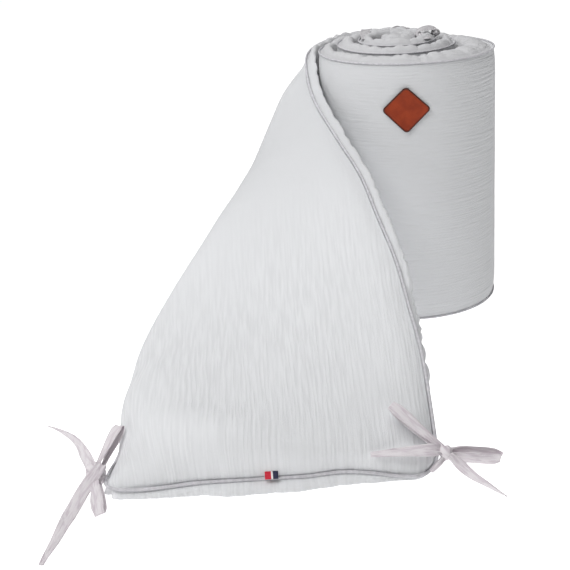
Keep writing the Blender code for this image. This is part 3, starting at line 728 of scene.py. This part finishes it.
def gauzeMaterial(design):
    # Crinkles: noise stretched along the strip, nearly straight, in two sizes, that fades out where the cloth
    # is drawn smooth. A weave, sin(along) * sin(across), and its slubs lie on them.
    cloth = Cloth("crinkledGauze", {"Roughness": 0.92, "Specular IOR Level": 0.15,
                                    "Sheen Weight": design["sheen"], "Sheen Roughness": 0.6})
    along, cross, layer = cloth.place()
    wander = cloth.noise(cloth.join(along * 9.0, cross * 14.0), 1.0, 1.0) - 0.5
    bent = cross + wander * design["crinkleStray"]
    gap, length = design["crinkleGap"], design["crinkleLength"]
    coarse = cloth.noise(cloth.join(along * (1 / length), bent * (0.75 / gap)), 1.0, 1.0, 0.35)
    fine = cloth.noise(cloth.join(along * (2.2 / length), bent * (1.7 / gap), 3.7), 1.0, 2.0, 0.5)
    patches = cloth.noise(cloth.join(along * 9.0, cross * 12.0, 9.1), 1.0, 2.0).above(0.30, 0.66)
    # How strong they are: on the outer turn and down the drape most, hardly where the drape leaves the roll.
    start = float(course[rollRows - 1])
    onRoll = along.above(start - 0.02, start - 0.12) * (along.above(start - 0.60, start - 0.38) * 0.75 + 0.3)
    lower = along.above(start + design["smoothUntil"], start + design["crinkledFrom"])
    least = design["leastCrinkle"]
    amount = (patches * 0.4 + 0.6) * (lower * (1 - least) + onRoll + least)
    height = (coarse.above(0.2, 0.8) * design["crinkleHeight"] + fine * design["fineHeight"]) * amount
    thread = 2 * math.pi / design["weaveGap"]
    weave = (along * thread).sine() * (cross * thread).sine()
    slub = cloth.noise(cloth.join(along * 300.0, cross * 1700.0), 1.0, 1.0)
    height = height + weave * (design["weaveHeight"] * 0.5) + slub * design["weaveHeight"]
    # Painted shade: the crinkles' hollows are a little darker, and so is the cloth where it leaves the roll and
    # where it is wound.
    shade = (coarse.above(0.25, 0.75) * 0.6 + fine * 0.4 - 0.5) * amount + 0.5
    tone = cloth.blend(shade.above(0.1, 0.9), linear(*design["hollowShadeColour"]), linear(*design["colour"]))
    # painted shade where the drape leaves the roll
    leaving = along.above(start - 0.05, start + 0.02) * (1 - along.above(start + 0.06, start + 0.26))
    tone = cloth.blend(leaving, tone, linear(*design["leavingShadeColour"]))
    # painted shade over the wound turns
    tone = cloth.blend(along.above(start - 0.02, start - 0.12), tone, linear(*design["woundShadeColour"]))
    # painted shade on the puffed edges and back of the wound turns
    wound = layer.above(0.02, 0.2) * along.above(start + 0.02, start - 0.05)
    tone = cloth.blend(wound, tone, linear(*design["edgePaintAndShadeColour"]))
    return cloth.finish({"Base Color": tone, "Normal": cloth.bump(height)})


paddedStrip = buildPad(gauzeMaterial(gauze))
print("padded strip made")


piping = {
    "radius": 0.0015,
    "out": 0.0012,                # its middle past the seam
    "up": 0.0010,                 # and out from the face
    "slimOnRoll": 0.34,           # drawn thinner where the strip is wound
    "slimInside": 0.16,           # and more so on the inner turns
    "outerTurn": 0.62,            # cloth on the outermost turn, and over how much more it gets that slim
    "slimOver": 0.08,
    "sides": 12,
    "ridgeHeight": 0.00006,
    "gatherHeight": 0.0004,
    # the cord's own grey, a little darker than the gauze, and darker still as painted shade of the groove it
    # lies in
    "colour": (204, 203, 207),
    "gatherShadeLevels": 16,                 # levels of painted shade between its gathers
}


def pipingMaterial(design):
    # Bias-cut cloth drawn round a cord: slanting fine ridges and small gathers along its length, with painted
    # shade between the gathers.
    cloth = Cloth("pipingCloth", {"Roughness": 0.88, "Specular IOR Level": 0.2, "Sheen Weight": 0.1})
    length, around, _ = cloth.place()
    slant = (length * 1500.0 + around * 900.0).sine() * 0.5 + 0.5
    gather = cloth.noise(cloth.join(length * 240.0, around * 60.0), 1.0, 2.0)
    bump = cloth.bump(slant * design["ridgeHeight"] + gather * design["gatherHeight"])
    # painted shade between the gathers: the colour made darker by that many levels
    dark = [level - design["gatherShadeLevels"] for level in design["colour"]]
    tone = cloth.blend(gather.above(0.3, 0.7), linear(*dark), linear(*design["colour"]))
    return cloth.finish({"Base Color": tone, "Normal": bump})


def buildPiping(design, material):
    # A circle of slowly changing radius carried round the seam, past it and a little out from the face.
    inside = smoothStep((-pastRoll[seamStation] - design["outerTurn"]) / design["slimOver"])
    slim = 1 - design["slimOnRoll"] * (1 - isDrape[seamStation]) - design["slimInside"] * inside
    middle = seam + seamPast * (design["out"] * slim)[:, None] + seamOutward * (design["up"] * slim)[:, None]
    spread = np.linspace(0, 2 * math.pi, design["sides"], endpoint=False)
    size = design["radius"] * slim * (1 + 0.05 * ripple(seamLength, 0.02, 41))
    ring = seamPast[:, None] * np.cos(spread)[:, None] + seamOutward[:, None] * np.sin(spread)[:, None]
    points = middle[:, None] + ring * size[:, None, None]
    points[..., 2] = np.maximum(points[..., 2], 0.0002)
    faces = gridFaces(len(loop), design["sides"], closeRows=True, closeColumns=True)
    where = np.stack([np.broadcast_to(seamLength[:, None], points.shape[:2]),
                      np.broadcast_to(spread * design["radius"], points.shape[:2]),
                      np.zeros(points.shape[:2])], -1)
    return makePiece("pipedSeam", points.reshape(-1, 3), faces, material, ["piping"],
                     where.reshape(-1, 3))


buildPiping(piping, pipingMaterial(piping))
print("piping made")


patch = {
    "side": 0.0370,
    "corner": 0.0045,
    "points": 96,                 # round the outline
    "angle": -93.5,               # where its middle lies round the roll
    "height": 0.2500,
    "radius": 0.0990,
    "lift": 0.0026,               # its back above the seam-high face
    "curl": 0.0005,               # of its corners
    "cellScale": 900.0,
    "cellHeight": 0.00005,
    "grainHeight": 0.00012,
    "colour": (154, 56, 18),
    "darkColour": (130, 43, 10),
    # on the leather this is only its own dark edge paint
    "edgePaintAndShadeColour": (62, 24, 14),
}
patchSection = {  # from the middle of the face, over its pressed line and rounded edge, down to the back
    "columns": ("size", "height", "rim"),
    "rows": ((0.12, 0.00180, 0.00), (0.30, 0.00180, 0.00), (0.60, 0.00172, 0.00), (0.78, 0.00160, 0.00),
             (0.865, 0.00160, 0.86), (0.882, 0.00138, 0.89), (0.90, 0.00138, 0.91), (0.917, 0.00160, 0.93),
             (0.95, 0.00160, 0.95), (0.975, 0.001488, 0.97), (0.993, 0.00120, 1.0), (1.0, 0.00080, 1.0),
             (0.993, 0.000352, 1.0), (0.975, 0.00010, 1.0), (0.80, 0.0, 1.0), (0.40, 0.0, 1.0)),
}


def leatherMaterial(design):
    # Grain cells with creases between them, a slow change of colour, and a dark painted edge.
    cloth = Cloth("brownLeather", {"Specular IOR Level": 0.28})
    flatX, flatY, rim = cloth.place()
    where = cloth.join(flatX, flatY)
    cells = addNode(cloth.tree, "TexVoronoi", {"feature": "DISTANCE_TO_EDGE"},
                    {"Vector": where, "Scale": design["cellScale"]}, "Distance")
    soft = cloth.noise(where, 260.0, 4.0, 0.6)
    cloud = cloth.noise(where, 75.0, 3.0, 0.55)
    height = cells.above(0.0, 0.12) * design["cellHeight"] + soft * design["grainHeight"]
    tone = cloth.blend(cloud.above(0.3, 0.7), linear(*design["darkColour"]), linear(*design["colour"]))
    tone = cloth.blend(cells.above(0.1, 0.0) * 0.25, tone, linear(*design["darkColour"]))
    tone = cloth.blend(rim.above(0.885, 0.97), tone, linear(*design["edgePaintAndShadeColour"]))
    rough = 0.62 - soft * 0.2 - rim.above(0.9, 0.97) * 0.12
    return cloth.finish({"Base Color": tone, "Roughness": rough, "Normal": cloth.bump(height)})


def buildPatch(design, material):
    # A square with round corners stood on one corner: its outline times the section's sizes, ring by ring,
    # bent to the roll. Half of each quarter's points go round the corner, the rest lie along the sides.
    half, corner = design["side"] / 2, design["corner"]
    count = design["points"]
    share, quarter = np.modf(np.arange(count) * 4 / count)
    around = np.clip((share - 0.25) / 0.5, 0, 1) * math.pi / 2
    slide = np.minimum(share / 0.25 - 1, 0) + np.maximum((share - 0.75) / 0.25, 0)
    x = half - corner + corner * np.cos(around) - np.maximum(slide, 0) * (half - corner)
    y = half - corner + corner * np.sin(around) + np.minimum(slide, 0) * (half - corner)
    spin = quarter * math.pi / 2 + math.pi / 4
    outline = np.stack([x * np.cos(spin) - y * np.sin(spin), x * np.sin(spin) + y * np.cos(spin)], -1)
    size, lift, rim = (column(patchSection, name) for name in patchSection["columns"])
    flat = outline[None] * size[:, None, None]
    curl = design["curl"] * (np.linalg.norm(flat, axis=-1) / half)**4
    angle = design["angle"] + np.degrees(flat[..., 0] / design["radius"])
    plan = rollPlan(angle.ravel())[:, :2].reshape(*angle.shape, 2)
    centre = smoothCurve(angle.ravel(), column(rollTable, "angle"), column(rollTable, "centreX"))
    away = unit(plan - np.stack([centre.reshape(angle.shape), np.zeros(angle.shape)], -1))
    out = design["lift"] + lift[:, None] + curl
    points = np.concatenate([plan + away * out[..., None], design["height"] + flat[..., 1:]], -1)
    where = np.concatenate([flat, np.broadcast_to(rim[:, None, None], (*angle.shape, 1))], -1)
    return makePiece("leatherSquare", points.reshape(-1, 3), tubeFaces(len(size), count), material,
                     ["leather_patch"], where.reshape(-1, 3))


buildPatch(patch, leatherMaterial(patch))
print("leather square made")


tag = {
    "size": (0.0118, 0.0104, 0.0011),
    "grid": (15, 13),
    "bow": 0.0008,                # it arches over the piping
    "place": 0.151,               # from the foot end of the short seam
    "tilt": 36,
    "offset": (-0.0004, -0.0012, 0.0038),
    "ribGaps": (0.00045, 0.0006),     # across the tape and along it
    "ribHeight": 0.00007,
    "fray": 0.0006,
    "red": (206, 48, 66),
    "white": (236, 232, 234),
    "navy": (52, 54, 78),
}


def tagMaterial(design):
    # Three woven bands, with ribs across them and a little fray of colour where they meet.
    cloth = Cloth("wovenTape", {"Roughness": 0.8, "Specular IOR Level": 0.25})
    length, width, _ = cloth.place()
    fray = (cloth.noise(cloth.join(length * 2500.0, width * 2500.0), 1.0, 1.0) - 0.5) * design["fray"]
    edge = length + fray
    tone = cloth.blend(edge.above(-0.0005, -0.0002), linear(*design["red"]), linear(*design["white"]))
    tone = cloth.blend(edge.above(0.0011, 0.0014), tone, linear(*design["navy"]))
    crossRib, longRib = (2 * math.pi / gap for gap in design["ribGaps"])
    rib = (width * crossRib).sine() * 0.5 + (length * longRib).sine() * 0.25
    return cloth.finish({"Base Color": tone, "Normal": cloth.bump(rib * design["ribHeight"])})


def buildTag(design, material):
    # A flat tape that bows over the piping, height bow * (1 - v^2), its two faces closer at the border.
    length, width, thick = design["size"]
    rowCount, placeCount = design["grid"]
    gridU, gridV = np.meshgrid(np.linspace(-1, 1, rowCount), np.linspace(-1, 1, placeCount), indexing="ij")
    middle = np.stack([gridU * length / 2, gridV * width / 2, design["bow"] * (1 - gridV**2)], -1)
    rise = np.zeros_like(middle)
    rise[..., 2] = thick / 2 * (1 - 0.12 * np.maximum(np.abs(gridU), np.abs(gridV))**8)
    seat = np.array([np.interp(design["place"], across, face[-1, :, axis]) for axis in range(3)])
    edge = face[-1, -2] - face[-1, 1]
    tilt, turn = math.radians(design["tilt"]), math.atan2(edge[1], edge[0])
    lean = np.array([[1, 0, 0], [0, math.cos(tilt), -math.sin(tilt)], [0, math.sin(tilt), math.cos(tilt)]])
    swing = np.array([[math.cos(turn), -math.sin(turn), 0], [math.sin(turn), math.cos(turn), 0], [0, 0, 1]])
    points = np.concatenate([(middle + rise).reshape(-1, 3), (middle - rise).reshape(-1, 3)])
    points = points @ lean.T @ swing.T + seat + np.array(design["offset"])
    count = rowCount * placeCount
    border = loopOf(rowCount, placeCount)
    after = np.roll(border, -1)
    faces = [*gridFaces(rowCount, placeCount), *gridFaces(rowCount, placeCount, start=count)[:, ::-1],
             *np.stack([border, border + count, after + count, after], -1)]
    where = np.tile((middle * [1.0, 1.0, 0.0]).reshape(-1, 3), (2, 1))
    return makePiece("stripedTag", points, faces, material, ["seam_tag"], where)


buildTag(tag, tagMaterial(tag))
print("tag made")


ribbon = {
    "width": 0.0120,
    "thickness": 0.0010,
    "step": 0.0016,
    "gather": 0.55,               # share of its width that it has at a knot
    "gatherLength": 0.016,        # and the tape over which it opens out
    "pleatLength": 0.020,
    "pleatHeight": 0.0008,
    "loopStart": 0.0020,          # half the gap between a loop's two ends
    "cup": 0.0010,                # how far the edges curl
    "cupWave": 0.05,
    "bandWidth": 0.42,            # of a knot's band, against the knot
    "threadGap": 0.0005,
    "threadHeight": 0.00004,
    "stitchGap": 0.0022,
    "stitchHeight": 0.00012,      # and that of the turned edge
    "wrinkleHeight": 0.00055,
    "crossHeight": 0.00018,
    "colour": (226, 221, 224),
    "shadeColour": (204, 194, 201),
    "topShadeColour": (204, 202, 204),  # painted shade: the same cotton made darker for the ties on top of the roll
    "topDeepShadeColour": (176, 173, 177),
}
bows = {
    "tieLeft": {
        "node": "tie_bow_left",
        "knot": (-0.3318, -0.4200, 0.0142),
        "knotSize": (0.0092, 0.0078, 0.0092),
        "wrap": (0.8, 0.5, 0.5),
        "loops": (
            {"end": (-0.3222, -0.4765, 0.0072), "opens": (-0.0010, -0.0004, 0.0030),
             "gather": 0.40, "full": 0.8},
            {"end": (-0.3105, -0.3845, 0.0420), "opens": (-0.0012, -0.0012, 0.0025),
             "gather": 0.35, "full": 0.95},
        ),
        "tails": (
            {"course": ((-0.3264, -0.4175, 0.0225), (-0.3303, -0.4310, 0.0205), (-0.3361, -0.4364, 0.0150),
                        (-0.3416, -0.4435, 0.0095), (-0.3467, -0.4607, 0.0064), (-0.3510, -0.4797, 0.0048),
                        (-0.3573, -0.5092, 0.0030), (-0.3630, -0.5383, 0.0020)),
             "across": ((1.0, -0.30, -0.50), (1.0, -0.35, -0.08)), "taper": 0.50, "tip": 0.36,
             "gather": 0.95},
            {"course": ((-0.3340, -0.4180, 0.0140), (-0.3440, -0.3880, 0.0118), (-0.3568, -0.3560, 0.0105),
                        (-0.3735, -0.3290, 0.0090), (-0.3944, -0.3083, 0.0070)),
             "across": ((0.8, 0.1, 0.6), (0.25, 0.3, 1.0)), "taper": 0.35, "tip": 0.06},
        ),
    },
    "tieRight": {
        "node": "tie_bow_right",
        "knot": (-0.0188, -0.4385, 0.0226),
        "knotSize": (0.0058, 0.0056, 0.0074),
        "wrap": (0.7, 0.2, 0.8),
        "loops": (
            {"end": (0.0310, -0.4310, 0.0105), "opens": (-0.0004, 0.0040, 0.0008)},
            {"end": (-0.0640, -0.4130, 0.0600), "opens": (0.0000, -0.0007, 0.0010),
             "gather": 0.50, "full": 0.9},
        ),
        "tails": (
            {"course": ((-0.0166, -0.4440, 0.0235), (-0.0083, -0.4490, 0.0160), (0.0005, -0.4580, 0.0105),
                        (0.0119, -0.4714, 0.0080), (0.0247, -0.4898, 0.0065)),
             "across": ((0.45, 0.3, 0.85), (0.1, 0.9, 0.35)), "taper": 0.0, "tip": 0.08},
            {"course": ((-0.0190, -0.4370, 0.0240), (-0.0320, -0.4430, 0.0290), (-0.0460, -0.4440, 0.0300),
                        (-0.0660, -0.4440, 0.0295), (-0.0860, -0.4430, 0.0288)),
             "across": ((0.1, 0.6, 0.75), (0.0, 0.7, 0.7)), "taper": 0.2, "tip": 0.4},
            {"course": ((-0.0200, -0.4410, 0.0210), (-0.0240, -0.4432, 0.0170), (-0.0286, -0.4432, 0.0120),
                        (-0.0335, -0.4445, 0.0085)),
             "across": ((0.7, 0.2, -0.7), (0.7, 0.3, -0.6)), "taper": 0.0, "tip": 0.35,
             "gather": 0.45},
        ),
    },
    "tieCore": {
        "node": "tie_bow_core",
        "knot": (0.0385, 0.0000, 0.3135),
        "knotSize": (0.0044, 0.0048, 0.0036),
        "wrap": (0.2, 1.0, 0.3),
        "loops": (),
        "tails": (
            {"course": ((0.0400, 0.0000, 0.3100), (0.0388, 0.0000, 0.3155), (0.0324, 0.0000, 0.3186),
                        (0.0248, 0.0000, 0.3186), (0.0180, -0.0020, 0.3160), (0.0140, -0.0040, 0.3115)),
             "across": ((0.1, 1.0, 0.3), (0.2, 1.0, 0.2)), "taper": 0.9, "tip": 0.9},
            {"course": ((0.0180, -0.0040, 0.3150), (0.0204, -0.0120, 0.3135), (0.0235, -0.0200, 0.3125),
                        (0.0262, -0.0290, 0.3120)),
             "across": ((1.0, 0.2, 0.1), (1.0, -0.4, 0.0)), "taper": 0.6, "tip": 0.8},
        ),
    },
    "tieBack": {
        "node": "tie_bow_back",
        "knot": (0.0130, 0.1046, 0.2987),
        "knotSize": (0.0060, 0.0040, 0.0050),
        "wrap": (0.3, 1.0, 0.2),
        "loops": (),
        "tails": (
            {"course": ((0.0130, 0.1056, 0.2995), (0.0070, 0.1064, 0.3012), (0.0010, 0.1068, 0.3000)),
             "across": ((0.1, 0.3, 1.0), (0.0, 0.3, 1.0)), "taper": 0.45, "tip": 0.6},
            {"course": ((0.0130, 0.1056, 0.2990), (0.0190, 0.1064, 0.2985), (0.0260, 0.1064, 0.2960)),
             "across": ((0.1, 0.3, 1.0), (0.2, 0.3, 1.0)), "taper": 0.45, "tip": 0.5},
        ),
    },
    "tieStrap": {
        "node": "tie_strap_back",
        "knot": None,
        "loops": (),
        "tails": (
            {"course": ((-0.0410, -0.0150, 0.3135), (-0.0400, 0.0100, 0.3134), (-0.0375, 0.0450, 0.3119),
                        (-0.0340, 0.0750, 0.3080), (-0.0310, 0.0960, 0.3045), (-0.0300, 0.1045, 0.3010),
                        (-0.0300, 0.1065, 0.2900)),
             "across": ((1.0, 0.1, 0.0), (1.0, 0.1, 0.0)), "taper": 0.5, "tip": 1.0},
        ),
    },
}


def ribbonMaterial(name, design, pale, dark):
    # Plain cotton tape: fine threads both ways, a turned and stitched edge, and painted shade in the hollows.
    cloth = Cloth(name, {"Roughness": 0.8, "Specular IOR Level": 0.22, "Sheen Weight": 0.15})
    length, width, side = cloth.place()
    thread = 2 * math.pi / design["threadGap"]
    threads = (length * thread).sine() * (width * thread).sine()
    wrinkle = cloth.noise(cloth.join(length * 60.0, width * 420.0), 1.0, 3.0, 0.5, 0.6)
    cross = cloth.noise(cloth.join(length * 260.0, width * 90.0, 5.0), 1.0, 2.0)
    fold = side.above(0.62, 0.74) - side.above(0.80, 0.84) * 0.4
    stitch = (length * (2 * math.pi / design["stitchGap"])).sine().above(-0.2, 0.4)
    stitch = stitch * (side.above(0.66, 0.7) - side.above(0.76, 0.8))
    height = threads * design["threadHeight"] + (fold - stitch) * design["stitchHeight"]
    height = height + wrinkle * design["wrinkleHeight"] + cross * design["crossHeight"]
    # painted shade in the wrinkles' hollows
    tone = cloth.blend(wrinkle.above(0.3, 0.62), linear(*design[dark]), linear(*design[pale]))
    tone = cloth.blend(stitch * 0.35, tone, linear(*design[dark]))
    return cloth.finish({"Base Color": tone, "Normal": cloth.bump(height)})


def ribbonBody(middle, side, half, length, pleat):
    # A thin rounded section, curled at its edges and pleated near a knot, carried along the middle line.
    onward = unit(np.gradient(middle, axis=0))
    side = unit(side - onward * np.sum(side * onward, axis=1)[:, None])
    normal = np.cross(onward, side)
    width = np.linspace(-1, 1, 11)
    around = np.concatenate([width, width[::-1]])
    bulge = np.sqrt(1 - width**2 * 0.93) * ribbon["thickness"] / 2
    curl = ribbon["cup"] * (around**2 - 0.33) * ripple(length, ribbon["cupWave"], 51)[:, None]
    folds = ribbon["pleatHeight"] * np.cos(math.pi * 3.0 * around) * pleat[:, None]
    rise = curl + folds + np.concatenate([bulge, -bulge[::-1]])
    spread = half[:, None] * around
    points = middle[:, None] + side[:, None] * spread[..., None] + normal[:, None] * rise[..., None]
    where = np.stack(np.broadcast_arrays(length[:, None], spread, np.abs(around)), -1)
    return points.reshape(-1, 3), tubeFaces(len(middle), len(around)), where.reshape(-1, 3)


def tailBody(tail, gathered):
    # Along its course: drawn together where it leaves a knot, and narrowed to its tip.
    line = np.array(tail["course"])
    knots = lengthAlong(line)
    spots = np.linspace(0.0, knots[-1], max(8, int(round(knots[-1] / ribbon["step"]))) + 1)
    share = spots / knots[-1]
    side = between(*np.array(tail["across"]), share[:, None])
    narrow = np.clip((share - tail["taper"]) / (1 - tail["taper"]), 0, 1)
    half = ribbon["width"] / 2 * between(1.0, tail["tip"], narrow)
    pleat = np.zeros(len(spots))
    if gathered:
        opened = smoothStep(spots / ribbon["gatherLength"])
        half = half * between(tail.get("gather", ribbon["gather"]), 1.0, opened)
        pleat = 1 - smoothStep(spots / ribbon["pleatLength"])
    return ribbonBody(smoothCurve(spots, knots, line), side, half, spots, pleat)


def loopBody(loop, knot):
    # A drop with its point in the knot: along by sin^2(t/2), sideways by sin t * sin(t/2), at most 0.77.
    reach = np.array(loop["end"]) - np.array(knot)
    opens = np.array(loop["opens"])
    count = int(round(2.2 * np.linalg.norm(reach) / ribbon["step"]))
    turn = np.linspace(0.3, 2 * math.pi - 0.3, count + 1)
    share = np.sin(turn / 2)**2
    sway = np.sin(turn) * np.sin(turn / 2) / 0.77
    start = np.sign(math.pi - turn) * (1 - share) * ribbon["loopStart"] / np.linalg.norm(opens)
    middle = np.array(knot) + share[:, None] * reach + (sway + start)[:, None] * opens
    side = np.tile(np.cross(reach, opens), (count + 1, 1))
    opened = smoothStep(share / loop.get("full", 0.35))
    half = ribbon["width"] / 2 * between(loop.get("gather", ribbon["gather"]), 1.0, opened)
    half = half * (1 - 0.22 * smoothStep((share - 0.86) / 0.14))
    return ribbonBody(middle, side, half, lengthAlong(middle), 1 - smoothStep(share / 0.4))


def knotBody(knot, size, wrap):
    # A lump with grooves that run over it, cos and sin of two angles about the wrap's axis, and the band that
    # ties it, a flattened ring about the same axis.
    axis = unit(np.array(wrap, float))
    other = unit(np.cross(axis, [0.0, 0.0, 1.0] if abs(axis[2]) < 0.9 else [1.0, 0.0, 0.0]))
    third = np.cross(axis, other)

    def placed(level, reach, spin):
        offset = level[..., None] * axis + (reach * np.cos(spin))[..., None] * other
        offset = offset + (reach * np.sin(spin))[..., None] * third
        return (np.array(knot) + offset * np.array(size)).reshape(-1, 3)

    turn = np.linspace(0, 2 * math.pi, 40, endpoint=False)
    polar, spin = np.meshgrid(np.linspace(0.02, math.pi - 0.02, 25), turn, indexing="ij")
    groove = 1 - 0.10 * np.abs(np.sin(2.5 * spin + 1.3 * np.cos(polar)))**0.5 + 0.05 * np.sin(3 * polar)
    lump = placed(np.cos(polar) * groove, np.sin(polar) * groove, spin)
    lumpWhere = np.stack([spin * 0.004, polar * 0.003, 0 * polar], -1)
    bandSpin, bandTurn = np.meshgrid(turn, np.linspace(0, 2 * math.pi, 16, endpoint=False), indexing="ij")
    spread = np.cos(bandTurn) * ribbon["bandWidth"]
    bandLift = 1.06 + 0.13 * np.sin(bandTurn) * (1 - 0.25 * np.abs(np.cos(2 * bandTurn)))
    band = placed(spread, bandLift + 0.05 * np.sin(3 * bandSpin + 2 * spread), bandSpin)
    bandWhere = np.stack([bandSpin * 0.005, spread * 0.006, 0 * spread], -1)
    faces = [*tubeFaces(*polar.shape), *gridFaces(*spread.shape, True, True, start=len(lump))[:, ::-1]]
    where = np.concatenate([lumpWhere.reshape(-1, 3), bandWhere.reshape(-1, 3)])
    return np.concatenate([lump, band]), faces, where


def buildBow(name, bow, material):
    # The loops, the tails and the knot of one tie as one mesh, none of it under the floor.
    bodies = [loopBody(loop, bow["knot"]) for loop in bow["loops"]]
    bodies += [tailBody(tail, bow["knot"] is not None) for tail in bow["tails"]]
    if bow["knot"]:
        bodies.append(knotBody(bow["knot"], bow["knotSize"], bow["wrap"]))
    faces = []
    count = 0
    for bodyPoints, bodyFaces, _ in bodies:
        faces += [[corner + count for corner in corners] for corners in bodyFaces]
        count += len(bodyPoints)
    points = np.concatenate([body[0] for body in bodies])
    points[:, 2] = np.maximum(points[:, 2], 0.0003)
    return makePiece(name, points, faces, material, [bow["node"]],
                     np.concatenate([body[2] for body in bodies]))


tieCotton = ribbonMaterial("tieCotton", ribbon, "colour", "shadeColour")
# a copy of the tie cotton with painted shade, for the ties on top of the roll
cottonInPaintedShade = ribbonMaterial("cottonInPaintedShade", ribbon, "topShadeColour", "topDeepShadeColour")
for bowName, bow in bows.items():
    buildBow(bowName, bow, tieCotton if bow["loops"] else cottonInPaintedShade)
print("ties made")
